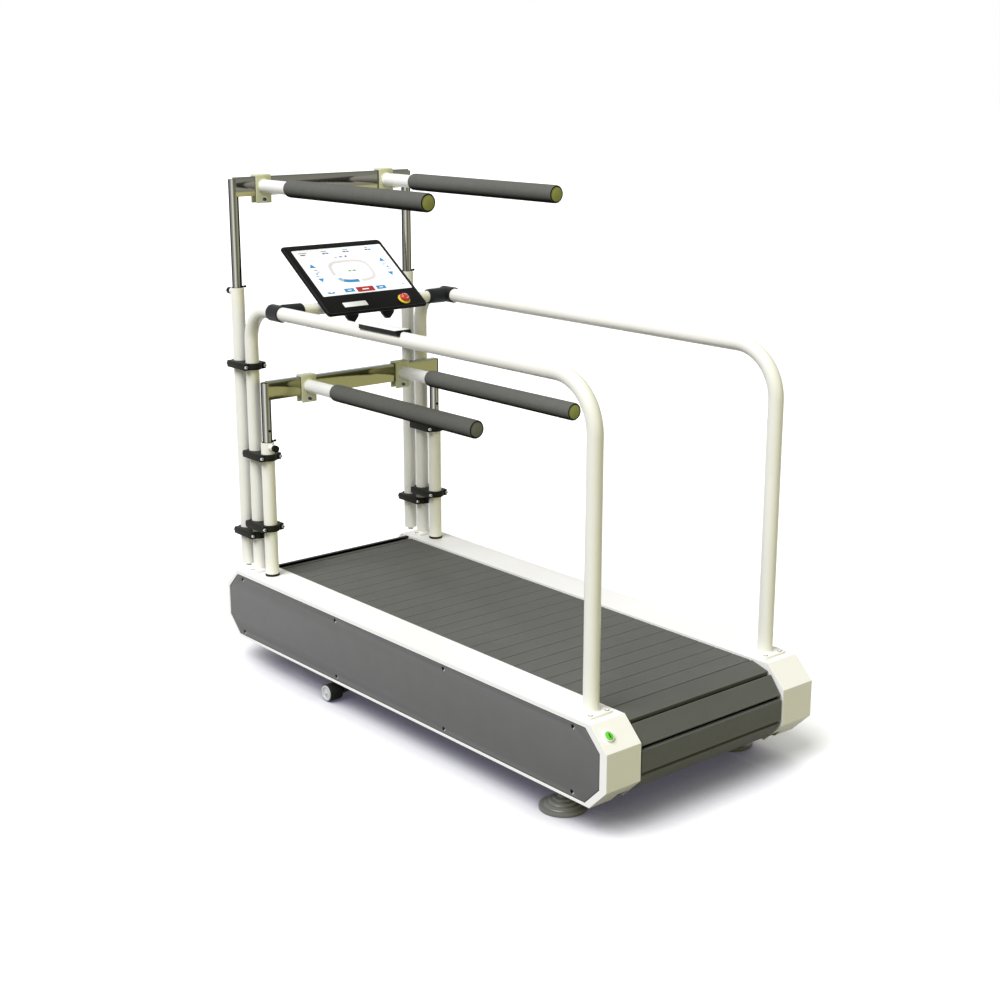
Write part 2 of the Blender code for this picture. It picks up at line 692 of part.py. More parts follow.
def side_beam(label, side):
    """Channel beam that carries the shafts, with a lug for the levelling foot."""
    low, high = BEAM_BOTTOM, BEAM_BOTTOM + BEAM_HEIGHT
    rear, front = REAR_END + BEAM_END_INSET, FRONT_END - BEAM_END_INSET
    inner = side * BEAM_INNER
    outer = side * (BEAM_INNER + BEAM_DEPTH)
    web = side * (BEAM_INNER + BEAM_WEB)
    outline = [(inner, low), (outer, low), (outer, low + BEAM_WEB), (web, low + BEAM_WEB),
               (web, high - BEAM_WEB), (outer, high - BEAM_WEB), (outer, high), (inner, high)]
    beam = prism(f"{label}_side_beam", [outline], -front, -rear, XZ_PLANE, FRAME)
    lug = box(f"{label}_lug", (side * (BEAM_INNER + 0.001), FOOT_Y - FOOT_LUG_LENGTH / 2, low),
              (side * (FOOT_X + 0.022), FOOT_Y + FOOT_LUG_LENGTH / 2, low + FOOT_LUG_THICKNESS), FRAME)
    fuse(beam, lug)
    holes = [(FRONT_DRUM_Y, DRUM_Z, SHAFT_RADIUS), (REAR_DRUM_Y, DRUM_Z, SHAFT_RADIUS),
             (LIFT_SHAFT_Y, LIFT_SHAFT_Z, LIFT_SHAFT_RADIUS)]
    if side > 0:
        holes.append((MOTOR_Y, DRUM_Z, MOTOR_SHAFT_RADIUS))
    for index, (y, z, radius) in enumerate(holes):
        bore = rod(f"{label}_beam_bore_{index}", (inner - side * 0.01, y, z),
                   (web + side * 0.01, y, z), (radius + GAP) * 1.02, FRAME)
        cut(beam, bore)
    thread = rod(f"{label}_lug_thread", (side * FOOT_X, FOOT_Y, low - 0.02),
                 (side * FOOT_X, FOOT_Y, low + FOOT_LUG_THICKNESS + 0.01), STEM_RADIUS + GAP, FRAME)
    return cut(beam, thread)


def crossmember(name, centre_y):
    top = DRUM_Z + WEB_INNER - RUNNING_GAP - ROLLER_RADIUS * 2 - 0.006 - GAP
    reach = BEAM_INNER - GAP
    half = CROSSMEMBER_WIDTH / 2

    def section(inset):
        rear, front = centre_y - half + inset, centre_y + half - inset
        low, high = top - CROSSMEMBER_HEIGHT + inset, top - inset
        return [(rear, low), (front, low), (front, high), (rear, high)]
    return prism(name, [section(0), section(CROSSMEMBER_WALL)], -reach, reach, YZ_PLANE, FRAME)


def roller_rail(label, side):
    """Rail with its row of support rollers under one edge of the belt's upper run."""
    roller_z = DRUM_Z + WEB_INNER - RUNNING_GAP - ROLLER_RADIUS
    rail_x = BELT_WIDTH / 2 - PULLEY_INSET - PULLEY_WIDTH
    rail_top = roller_z + ROLLER_RADIUS - 0.004
    rail_bottom = roller_z - ROLLER_RADIUS - 0.006
    rear = REAR_DRUM_Y + PULLEY_RADIUS + RAIL_DRUM_CLEARANCE
    front = FRONT_DRUM_Y - PULLEY_RADIUS - RAIL_DRUM_CLEARANCE
    rail = box(f"{label}_roller_rail", (side * (rail_x - RAIL_WIDTH), rear, rail_bottom),
               (side * rail_x, front, rail_top), FRAME)
    count = int((front - rear - 2 * ROLLER_RADIUS) / ROLLER_SPACING)
    first = (rear + front - count * ROLLER_SPACING) / 2
    for i in range(count + 1):
        y = first + i * ROLLER_SPACING
        roller = rod(f"{label}_roller_{i}", (side * (rail_x - 0.004), y, roller_z),
                     (side * (rail_x + ROLLER_WIDTH), y, roller_z), ROLLER_RADIUS, FRAME, 10)
        fuse(rail, roller)
    return rail


def motor_controller():
    """Drive electronics case on the rear cross member."""
    width, length, height = CONTROLLER_SIZE
    rear = REAR_END + REAR_CROSSMEMBER_INSET + CROSSMEMBER_WIDTH / 2 + GAP
    middle = DRUM_Z
    return box("motor_controller", (-width / 2, rear, middle - height / 2),
               (width / 2, rear + length, middle + height / 2), CAST)


def lift_gearmotor():
    """Self-locking gear motor round the lift shaft, held by a bracket to the left beam."""
    width, length, height = GEARBOX_SIZE
    low = LIFT_SHAFT_Z - LIFT_SHAFT_RADIUS - 0.009
    case = box("lift_gearmotor", (-width / 2, LIFT_SHAFT_Y - length / 2, low),
               (width / 2, LIFT_SHAFT_Y + length / 2, low + height), CAST)
    motor = rod("lift_gearmotor_motor", (width / 2 - 0.01, LIFT_SHAFT_Y, low + height - 0.030),
                (width / 2 + GEARBOX_MOTOR_LENGTH, LIFT_SHAFT_Y, low + height - 0.030),
                GEARBOX_MOTOR_RADIUS, CAST, 20)
    bore = rod("lift_gearmotor_bore", (-width, LIFT_SHAFT_Y, LIFT_SHAFT_Z),
               (width * 3, LIFT_SHAFT_Y, LIFT_SHAFT_Z), LIFT_SHAFT_RADIUS + GAP, CAST, 24)
    bracket = box("lift_gearmotor_bracket", (-BEAM_INNER + GAP, LIFT_SHAFT_Y - length / 4, low + height / 2),
                  (-width / 4, LIFT_SHAFT_Y + length / 4, low + height / 2 + 0.030), CAST)
    fuse(case, motor, bracket)
    return cut(case, bore)


def lift_frame():
    """Lift shaft with an arm at each end that carries a wheel axle."""
    reach = LIFT_ARM_X + LIFT_ARM_THICKNESS / 2
    shaft = rod("lift_frame", (-reach, LIFT_SHAFT_Y, LIFT_SHAFT_Z), (reach, LIFT_SHAFT_Y, LIFT_SHAFT_Z),
                LIFT_SHAFT_RADIUS, FRAME, 24)
    boss_y, boss_z = LIFT_SHAFT_Y, LIFT_SHAFT_Z
    drop = math.degrees(math.atan2(LIFT_SHAFT_Z - WHEEL_RADIUS, WHEEL_REACH))
    for label, side in SIDES:
        inner, outer = side * LIFT_ARM_X, side * (LIFT_ARM_X + LIFT_ARM_THICKNESS)
        eye = 0.013
        outline = arc((boss_y, boss_z), LIFT_ARM_BOSS, -90 + drop, 90 + drop, 8)
        outline += arc((WHEEL_Y, WHEEL_RADIUS), eye, 90 + drop, 270 + drop, 8)
        arm = prism(f"{label}_lift_arm", [outline], inner, outer, YZ_PLANE, FRAME)
        head = rod(f"{label}_axle_head", (inner - side * 0.018, WHEEL_Y, WHEEL_RADIUS),
                   (inner + side * 0.002, WHEEL_Y, WHEEL_RADIUS), AXLE_HEAD_RADIUS, FRAME, 12)
        axle = rod(f"{label}_axle", (inner, WHEEL_Y, WHEEL_RADIUS),
                   (side * (SIDE_FACE - WHEEL_SIDE_INSET - 0.012), WHEEL_Y, WHEEL_RADIUS),
                   WHEEL_AXLE_RADIUS, FRAME, 12)
        fuse(shaft, arm, head, axle)
    return shaft


def lift_wheel(label, side):
    """Wheel with a closed outer face, bored for the lift arm's axle."""
    outer = SIDE_FACE - WHEEL_SIDE_INSET
    inner = outer - WHEEL_WIDTH
    bore = WHEEL_AXLE_RADIUS + GAP
    bottom = outer - 0.012 + GAP
    profile = [(0, outer), (WHEEL_RADIUS - 0.003, outer), (WHEEL_RADIUS, outer - 0.003),
               (WHEEL_RADIUS, inner + 0.003), (WHEEL_RADIUS - 0.003, inner),
               (bore, inner), (bore, bottom), (0, bottom)]
    turn = Matrix.Rotation(math.radians(90 * side), 4, "Y")
    place = Matrix.Translation((0, WHEEL_Y, WHEEL_RADIUS)) @ turn
    return turned(f"{label}_lift_wheel", profile, place, RUBBER, steps=24)


def leveling_foot(label, side):
    """Stepped round pad with a threaded stem."""
    top = BEAM_BOTTOM + FOOT_LUG_THICKNESS + 0.020
    tiers = ((1.00, 0.010), (0.78, 0.018), (0.60, 0.025), (0.42, 0.031))
    profile = [(0, top), (STEM_RADIUS, top), (STEM_RADIUS, FOOT_HEIGHT), (0.012, FOOT_HEIGHT),
               (0.014, tiers[-1][1])]
    for share, height in reversed(tiers):
        radius = FOOT_RADIUS * share
        profile += [(radius - 0.003, height), (radius, height - 0.003)]
    profile += [(FOOT_RADIUS, 0.0), (0, 0.0)]
    return turned(f"{label}_leveling_foot", profile,
                  Matrix.Translation((side * FOOT_X, FOOT_Y, 0)), FOOT, steps=20)


def handrail_path(side):
    """Front leg, bend, level run, bend and rear leg of one handrail."""
    x = side * POST_X
    start = DECK_TOP + GAP + FLANGE_THICKNESS / 2
    front = arc((FRONT_LEG_Y - FRONT_BEND, HANDRAIL_HEIGHT - FRONT_BEND), FRONT_BEND, 0, 90, 5)
    rear = arc((REAR_LEG_Y + REAR_BEND, HANDRAIL_HEIGHT - REAR_BEND), REAR_BEND, 90, 180, 6)
    flat = [(FRONT_LEG_Y, start)] + front + rear + [(REAR_LEG_Y, start)]
    return [(x, y, z) for y, z in flat]


def handrail(label, side):
    """Bent tube with a flange welded under each leg; the flanges are open inside the tube."""
    x = side * POST_X
    tube = pipe(f"{label}_handrail", handrail_path(side), TUBE_RADIUS, TUBE_WALL, WHITE)
    low, high = DECK_TOP + GAP, DECK_TOP + GAP + FLANGE_THICKNESS
    half = REAR_FLANGE_SIZE / 2
    rear = box(f"{label}_rear_flange", (x - half, REAR_LEG_Y - half, low),
               (x + half, REAR_LEG_Y + half, high), WHITE)
    front = box(f"{label}_front_flange", (x - FRONT_FLANGE_WIDTH / 2, FRONT_LEG_Y - FRONT_FLANGE_LENGTH / 2,
                                          low),
                (x + FRONT_FLANGE_WIDTH / 2, FRONT_LEG_Y + FRONT_FLANGE_LENGTH / 2, high), WHITE)
    fuse(tube, rear, front)
    for tag, y in (("front", FRONT_LEG_Y), ("rear", REAR_LEG_Y)):
        drain = rod(f"{label}_{tag}_drain", (x, y, low - 0.01), (x, y, high + 0.01),
                    TUBE_RADIUS - TUBE_WALL - 0.002, WHITE)
        cut(tube, drain)
    return tube


def sleeve_fittings(sleeve, label, x, y, z, direction):
    """Boss on a sleeve for its index plunger, the pin's hole and the lug on the rim."""
    root = y + direction * (TUBE_RADIUS - TUBE_WALL)
    tip = y + direction * (TUBE_RADIUS + PLUNGER_BOSS_LENGTH)
    boss = rod(f"{label}_boss", (x, root, z), (x, tip, z), PLUNGER_BOSS_RADIUS, WHITE, 12)
    hole = rod(f"{label}_pin_hole", (x, y + direction * 0.008, z), (x, tip + direction * 0.01, z),
               PIN_RADIUS + GAP, WHITE, 12)
    rim = z + PIN_DROP + LUG_RISE
    lug = rod(f"{label}_lug", (x + TUBE_RADIUS - 0.004, y, rim), (x + LUG_REACH, y, rim), LUG_RADIUS, WHITE, 8)
    fuse(sleeve, boss, lug)
    return cut(sleeve, hole)


def outer_sleeve(label, side):
    """Tall front sleeve on a stud, narrowed at its mouth to guide the chrome post."""
    x = side * POST_X
    bottom = DECK_TOP + OUTER_SLEEVE_LIFT
    guide = ROD_RADIUS + GAP
    bore = TUBE_RADIUS - TUBE_WALL
    top = OUTER_SLEEVE_TOP
    foot = DECK_TOP + GAP
    profile = [(guide, top), (TUBE_RADIUS, top), (TUBE_RADIUS, bottom),
               (SLEEVE_STUD_RADIUS, bottom), (SLEEVE_STUD_RADIUS, foot + SLEEVE_NUT_HEIGHT),
               (SLEEVE_NUT_RADIUS, foot + SLEEVE_NUT_HEIGHT), (SLEEVE_NUT_RADIUS, foot), (0, foot)]
    profile += [(0, bottom + SLEEVE_PLUG)]
    profile += [(bore, bottom + SLEEVE_PLUG), (bore, top - GUIDE_LENGTH), (guide, top - GUIDE_LENGTH)]
    place = Matrix.Translation((x, OUTER_SLEEVE_Y, 0))
    sleeve = turned(f"{label}_outer_sleeve", profile, place, WHITE)
    return sleeve_fittings(sleeve, f"{label}_outer", x, OUTER_SLEEVE_Y, top - PIN_DROP, 1)


def inner_sleeve(label, side):
    """Short rear sleeve that stands on the housing."""
    x = side * POST_X
    bottom = DECK_TOP + GAP
    guide = ROD_RADIUS + GAP
    bore = TUBE_RADIUS - TUBE_WALL
    top = INNER_SLEEVE_TOP
    profile = [(guide, top), (TUBE_RADIUS, top), (TUBE_RADIUS, bottom), (bore, bottom),
               (bore, top - GUIDE_LENGTH), (guide, top - GUIDE_LENGTH)]
    place = Matrix.Translation((x, INNER_SLEEVE_Y, 0))
    sleeve = turned(f"{label}_inner_sleeve", profile, place, WHITE)
    return sleeve_fittings(sleeve, f"{label}_inner", x, INNER_SLEEVE_Y, top - PIN_DROP, -1)


def plunger(name, x, y, z, direction):
    """Index plunger: its pin through the sleeve's wall, and its knob outside."""
    pin_tip = ROD_RADIUS + GAP
    seat = TUBE_RADIUS + PLUNGER_BOSS_LENGTH + GAP
    end = seat + KNOB_LENGTH
    profile = [(0, end), (KNOB_RADIUS - 0.002, end), (KNOB_RADIUS, end - 0.002),
               (KNOB_RADIUS, seat + 0.002), (KNOB_RADIUS - 0.002, seat), (PIN_RADIUS, seat),
               (PIN_RADIUS, pin_tip), (0, pin_tip)]
    turn = Matrix.Rotation(math.radians(-90 * direction), 4, "X")
    return turned(name, profile, Matrix.Translation((x, y, z)) @ turn, BLACK, steps=16)


def post_clamp(label, side, pair, level, height):
    """Plastic clamp block that ties two neighbouring posts together, with an ear at each corner."""
    name = f"{label}_{pair}_{level}_clamp"
    front_y = OUTER_SLEEVE_Y if pair == "outer" else FRONT_LEG_Y
    rear_y = front_y - POST_PITCH
    x = side * POST_X
    corner = CLAMP_HALF_WIDTH - CLAMP_CORNER, CLAMP_EAR - CLAMP_CORNER
    shoulder = math.degrees(math.asin(CLAMP_EAR / CLAMP_RING_RADIUS))
    end = arc(corner, CLAMP_CORNER, 0, 90, 2)
    end += arc((0, 0), CLAMP_RING_RADIUS, shoulder, 180 - shoulder, 7)
    end += arc((-corner[0], corner[1]), CLAMP_CORNER, 90, 180, 2)
    outline = [(x + dx, front_y + dy) for dx, dy in end]
    outline += [(x - dx, rear_y - dy) for dx, dy in end]
    bore = TUBE_RADIUS + GAP
    # The hole's flats must clear the tube, so its corners lie outside the bore's circle
    reach = bore / math.cos(math.pi / TUBE_SIDES)
    rings = [arc((x, y), reach, 0, 360 - 360 / TUBE_SIDES, TUBE_SIDES - 1) for y in (front_y, rear_y)]
    return prism(name, [outline, *rings], height - CLAMP_HEIGHT / 2, height + CLAMP_HEIGHT / 2,
                 Matrix.Identity(4), BLACK)


def arm_frame(name, y, bar_height, rod_length, pin_height, direction):
    """Two chrome posts joined by a bar at the top, with index holes for the plungers."""
    top = bar_height + BAR_HEIGHT / 2
    reach = POST_X + BAR_OVERHANG
    middle = y - BAR_FORWARD
    bar = box(name, (-reach, middle - BAR_DEPTH / 2, bar_height - BAR_HEIGHT / 2),
              (reach, middle + BAR_DEPTH / 2, top), STEEL)
    for label, side in SIDES:
        x = side * POST_X
        post = rod(f"{name}_{label}_post", (x, y, top - rod_length), (x, y, top - 0.001), ROD_RADIUS, CHROME)
        fuse(bar, post)
        hollow = rod(f"{name}_{label}_hollow", (x, y, top - rod_length - 0.01),
                     (x, y, top - BAR_HEIGHT - 0.02), ROD_RADIUS - ROD_WALL, CHROME)
        cut(bar, hollow)
        for step in range(INDEX_HOLES):
            z = pin_height + INDEX_PITCH * (1 - step)
            surface = y + direction * ROD_RADIUS
            hole = rod(f"{name}_{label}_index_{step}",
                       (x, surface - direction * INDEX_HOLE_DEPTH, z),
                       (x, surface + direction * 0.01, z), INDEX_HOLE_RADIUS, CHROME, 10)
            cut(bar, hole)
    return bar


def support_arm(name, x, y, bar_height):
    """Saddle over the cross bar with the arm tube welded to its rear plate."""
    half = SADDLE_WIDTH / 2
    middle = y - BAR_FORWARD
    inside = BAR_DEPTH / 2 + GAP
    outside = inside + SADDLE_PLATE
    under = bar_height - BAR_HEIGHT / 2 - SADDLE_DROP
    over = bar_height + BAR_HEIGHT / 2 + GAP + SADDLE_PLATE
    saddle = box(name, (x - half, middle - outside, under), (x + half, middle + outside, over), WHITE)
    room = box(f"{name}_room", (x - half - 0.01, middle - inside, under - 0.01),
               (x + half + 0.01, middle + inside, over - SADDLE_PLATE), WHITE)
    tube_end = y - ARM_REACH + GRIP_END + GAP
    tube = rod(f"{name}_tube", (x, middle - inside - SADDLE_PLATE / 2, bar_height), (x, tube_end, bar_height),
               ARM_TUBE_RADIUS, WHITE)
    bore = rod(f"{name}_bore", (x, middle - outside - 0.004, bar_height), (x, tube_end - 0.01, bar_height),
               ARM_TUBE_RADIUS - ARM_TUBE_WALL, WHITE)
    cut(saddle, room)
    fuse(saddle, tube)
    return cut(saddle, bore)


def grip(name, x, y, bar_height):
    """Foam sleeve over the arm tube, closed by its end cap."""
    bore = ARM_TUBE_RADIUS + GAP
    end = ARM_REACH
    start = ARM_REACH - GRIP_LENGTH
    profile = [(bore, start), (bore, end - GRIP_END), (0, end - GRIP_END), (0, end),
               (GRIP_RADIUS - 0.003, end), (GRIP_RADIUS, end - 0.004), (GRIP_RADIUS, start + GRIP_SOFT_EDGE),
               (GRIP_RADIUS - 0.002, start + GRIP_SOFT_STEP), (GRIP_RADIUS - 0.004, start)]
    turn = Matrix.Rotation(math.radians(90), 4, "X")
    place = Matrix.Translation((x, y, bar_height)) @ turn
    return turned(name, profile, place, FOAM, steps=20)


def cross_tube():
    reach = POST_X - TUBE_RADIUS - CONNECTOR_WALL
    return rod("console_cross_tube", (-reach, CROSS_TUBE_Y, HANDRAIL_HEIGHT),
               (reach, CROSS_TUBE_Y, HANDRAIL_HEIGHT), CROSS_TUBE_RADIUS, WHITE)


def tube_connector(label, side):
    """Tee fitting that wraps the handrail and sockets the cross tube."""
    name = f"{label}_tube_connector"
    x = side * POST_X
    front, rear = CROSS_TUBE_Y + CONNECTOR_FRONT, CROSS_TUBE_Y - CONNECTOR_REAR
    wrap = rod(name, (x, rear, HANDRAIL_HEIGHT), (x, front, HANDRAIL_HEIGHT), TUBE_RADIUS + CONNECTOR_WALL,
               BLACK, 20)
    tip = x - side * CONNECTOR_SOCKET
    socket = rod(f"{name}_socket", (x, CROSS_TUBE_Y, HANDRAIL_HEIGHT), (tip, CROSS_TUBE_Y, HANDRAIL_HEIGHT),
                 TUBE_RADIUS + CONNECTOR_WALL - 0.001, BLACK, 20, CONNECTOR_TIP_RADIUS)
    reach = (TUBE_RADIUS + GAP) / math.cos(math.pi / TUBE_SIDES)
    rail = rod(f"{name}_rail_bore", (x, rear - 0.01, HANDRAIL_HEIGHT), (x, front + 0.01, HANDRAIL_HEIGHT),
               reach, BLACK)
    reach = (CROSS_TUBE_RADIUS + GAP) / math.cos(math.pi / TUBE_SIDES)
    root = x - side * (TUBE_RADIUS + CONNECTOR_WALL - GAP)
    tube = rod(f"{name}_tube_bore", (root, CROSS_TUBE_Y, HANDRAIL_HEIGHT),
               (tip - side * 0.01, CROSS_TUBE_Y, HANDRAIL_HEIGHT), reach, BLACK)
    fuse(wrap, socket)
    return cut(wrap, rail, tube)


def console_place():
    """Centre of the console's front face, with local Z square to it."""
    centre = (0, CROSS_TUBE_Y + CONSOLE_FORWARD, HANDRAIL_HEIGHT + CONSOLE_RISE)
    return Matrix.Translation(centre) @ Matrix.Rotation(math.radians(CONSOLE_SLOPE), 4, "X")


def rounded_rectangle(width, depth, corner, centre=(0, 0)):
    points = []
    for sx, sy, start in ((1, 1, 0), (-1, 1, 90), (-1, -1, 180), (1, -1, 270)):
        middle = (centre[0] + sx * (width / 2 - corner), centre[1] + sy * (depth / 2 - corner))
        points += arc(middle, corner, start, start + 90, 3)
    return points


def face_height(y):
    """Height of the console's sloping face at a given depth."""
    centre = console_place().translation
    return centre.z + (y - centre.y) * math.tan(math.radians(CONSOLE_SLOPE))


def console_body():
    """Console case with its two tube mounts, recessed for the screen."""
    place = console_place()
    case = prism("console_body", [rounded_rectangle(CONSOLE_WIDTH, CONSOLE_DEPTH, CONSOLE_CORNER)],
                 -CONSOLE_RIM, 0, place, BLACK)
    inset = 2 * CONSOLE_BACK_INSET
    back_outline = rounded_rectangle(CONSOLE_WIDTH - inset, CONSOLE_DEPTH - inset, CONSOLE_CORNER)
    back = prism("console_back", [back_outline], -CONSOLE_THICKNESS, -CONSOLE_RIM / 2, place, BLACK)
    fuse(case, back)
    for label, side in SIDES:
        x = side * MOUNT_SPACING / 2
        foot = HANDRAIL_HEIGHT - CROSS_TUBE_RADIUS - MOUNT_DROP
        shoulder = foot + MOUNT_TAPER
        wide, narrow = MOUNT_TOP_WIDTH / 2, MOUNT_FOOT_WIDTH / 2
        rear, front = CROSS_TUBE_Y - MOUNT_DEPTH / 2, CROSS_TUBE_Y + MOUNT_DEPTH / 2
        # The top runs parallel to the case's face and stays under it
        profile = [(rear, shoulder), (front, shoulder), (front, face_height(front) - MOUNT_COVER),
                   (rear, face_height(rear) - MOUNT_COVER)]
        mount = prism(f"console_{label}_mount", [profile], x - wide, x + wide, YZ_PLANE, BLACK)
        tab_outline = [(x - narrow, foot), (x + narrow, foot), (x + wide - GAP, shoulder),
                       (x + wide - GAP, shoulder + MOUNT_LAP), (x - wide + GAP, shoulder + MOUNT_LAP),
                       (x - wide + GAP, shoulder)]
        tab = prism(f"console_{label}_tab", [tab_outline], -rear - MOUNT_TAB_DEPTH, -rear - GAP,
                    XZ_PLANE, BLACK)
        fuse(case, mount, tab)
    reach = (CROSS_TUBE_RADIUS + GAP) / math.cos(math.pi / TUBE_SIDES)
    bore = rod("console_tube_bore", (-CONSOLE_WIDTH, CROSS_TUBE_Y, HANDRAIL_HEIGHT),
               (CONSOLE_WIDTH, CROSS_TUBE_Y, HANDRAIL_HEIGHT), reach, BLACK)
    recess_outline = rounded_rectangle(SCREEN_WIDTH, SCREEN_DEPTH, 0.003,
                                       (SCREEN_OFFSET_X, SCREEN_OFFSET_Y))
    recess = prism("console_screen_recess", [recess_outline], -SCREEN_THICKNESS - GAP, 0.01, place, BLACK)
    stop = Matrix.Translation((STOP_X, STOP_Y, 0))
    hole = rod("console_stop_hole", place @ stop @ Vector((0, 0, -STOP_STEM_DEPTH - STOP_TRAVEL - GAP)),
               place @ stop @ Vector((0, 0, 0.01)), STOP_STEM_RADIUS + GAP, BLACK, 20)
    return cut(case, bore, recess, hole)


def touch_screen():
    outline = rounded_rectangle(SCREEN_WIDTH - 2 * GAP, SCREEN_DEPTH - 2 * GAP, 0.003,
                                (SCREEN_OFFSET_X, SCREEN_OFFSET_Y))
    return prism("touch_screen", [outline], -SCREEN_THICKNESS, 0, console_place(), GLASS)


def emergency_stop():
    """Mushroom button that presses square to the console's face."""
    lift = STOP_TRAVEL + GAP
    profile = [(0, lift + STOP_HEAD_HEIGHT), (STOP_HEAD_RADIUS * 0.62, lift + STOP_HEAD_HEIGHT * 0.93),
               (STOP_HEAD_RADIUS * 0.93, lift + STOP_HEAD_HEIGHT * 0.6),
               (STOP_HEAD_RADIUS, lift + STOP_HEAD_HEIGHT * 0.3), (STOP_HEAD_RADIUS, lift),
               (STOP_STEM_RADIUS, lift), (STOP_STEM_RADIUS, -STOP_STEM_DEPTH), (0, -STOP_STEM_DEPTH)]
    place = console_place() @ Matrix.Translation((STOP_X, STOP_Y, 0))
    return turned("emergency_stop", profile, place, RED, steps=20)


def handrail_tray():
    """Slim tray that sits astride the left handrail on an arched underside."""
    front = FRONT_LEG_Y - TRAY_SETBACK
    rear = front - TRAY_LENGTH
    step = 180 / TRAY_ARCH_STEPS
    # The arch's flats must clear the tube, so its corners lie outside the tube's circle
    reach = (TUBE_RADIUS + GAP) / math.cos(math.radians(step / 2))
    spread = math.degrees(math.asin(TRAY_FOOT_RISE / reach))
    arch = arc((-POST_X, HANDRAIL_HEIGHT), reach, spread, 180 - spread, TRAY_ARCH_STEPS)
    top, foot = HANDRAIL_HEIGHT + TRAY_RISE, HANDRAIL_HEIGHT + TRAY_FOOT_RISE
    half, foot_half = TRAY_WIDTH / 2, TRAY_FOOT_WIDTH / 2
    outline = [(-POST_X - foot_half, foot), (-POST_X - half, top), (-POST_X + half, top),
               (-POST_X + foot_half, foot), *arch]
    low_front, low_rear = front + TRAY_FRONT_FLARE, rear - TRAY_REAR_FLARE
    tray = prism("handrail_tray", [outline], -low_front, -low_rear, XZ_PLANE, BLACK)
    beyond = TRAY_WIDTH
    front_wedge = [(low_front, foot), (front, top), (front, top + beyond), (low_front + beyond, top + beyond),
                   (low_front + beyond, foot)]
    rear_wedge = [(low_rear, foot), (low_rear - beyond, foot), (low_rear - beyond, top + beyond),
                  (rear, top + beyond), (rear, top)]
    left, right = -POST_X - TRAY_WIDTH, -POST_X + TRAY_WIDTH
    return cut(tray, prism("tray_front_wedge", [front_wedge], left, right, YZ_PLANE, BLACK),
               prism("tray_rear_wedge", [rear_wedge], left, right, YZ_PLANE, BLACK))


def start_button_place():
    """Centre of the left housing's rear chamfer, with local Z square to it."""
    run = END_CHAMFER / 2
    x = -(SIDE_FACE - BUTTON_SIDE_INSET)
    return (Matrix.Translation((x, REAR_END + run, DECK_TOP - run))
            @ Matrix.Rotation(math.radians(45), 4, "X"))


def start_button(left_housing):
    """Green push-button in a hole through the left housing's rear chamfer."""
    place = start_button_place()
    hole = rod("start_button_hole", place @ Vector((0, 0, -0.012)), place @ Vector((0, 0, 0.012)),
               BUTTON_RADIUS + GAP, WHITE, 20)
    cut(left_housing, hole)
    proud = BUTTON_PROUD + BUTTON_TRAVEL
    profile = [(0, proud), (BUTTON_RADIUS - 0.001, proud), (BUTTON_RADIUS, proud - 0.001),
               (BUTTON_RADIUS, proud - BUTTON_LENGTH), (0, proud - BUTTON_LENGTH)]
    return turned("start_button", profile, place, GREEN, steps=20)


def build_base():
    for label, side in SIDES:
        shell = housing(label, side)
        side_panel(label, side)
        side_beam(label, side)
        roller_rail(label, side)
        if side < 0:
            button = start_button(shell)
            carry(joint_empty("start_button_press", start_button_place().to_translation()), button)
    front_cover()
    crossmember("front_crossmember", FRONT_END - FRONT_CROSSMEMBER_INSET)
    crossmember("rear_crossmember", REAR_END + REAR_CROSSMEMBER_INSET)
    motor_controller()
    lift_gearmotor()


def build_drive():
    slat_belt()
    drive_belt()
    drive_motor()
    front = (0, FRONT_DRUM_Y, DRUM_Z)
    carry(joint_empty("drive_drum_spin", front), drive_drum())
    idler = drum("idler_drum", REAR_DRUM_Y, BEAM_INNER + BEAM_WEB + 0.010)
    carry(joint_empty("idler_drum_spin", (0, REAR_DRUM_Y, DRUM_Z)), idler)
    carry(joint_empty("motor_spin", (0, MOTOR_Y, DRUM_Z)), motor_pulley())


def build_supports():
    pivot = joint_empty("lift_pivot", (0, LIFT_SHAFT_Y, LIFT_SHAFT_Z))
    carry(pivot, lift_frame())
    for label, side in SIDES:
        wheel_place = (side * SIDE_FACE, WHEEL_Y, WHEEL_RADIUS)
        carry(joint_empty(f"{label}_wheel_spin", wheel_place), lift_wheel(label, side))
        foot_place = (side * FOOT_X, FOOT_Y, 0)
        carry(joint_empty(f"{label}_foot_screw", foot_place), leveling_foot(label, side))


def build_posts():
    for label, side in SIDES:
        x = side * POST_X
        handrail(label, side)
        outer_sleeve(label, side)
        inner_sleeve(label, side)
        for pair, level, height in CLAMP_LEVELS:
            post_clamp(label, side, pair, level, height)
        for tag, y, z, direction in (("outer", OUTER_SLEEVE_Y, OUTER_SLEEVE_TOP - PIN_DROP, 1),
                                     ("inner", INNER_SLEEVE_Y, INNER_SLEEVE_TOP - PIN_DROP, -1)):
            knob = plunger(f"{label}_{tag}_plunger", x, y, z, direction)
            carry(joint_empty(f"{label}_{tag}_pull", (x, y, z)), knob)


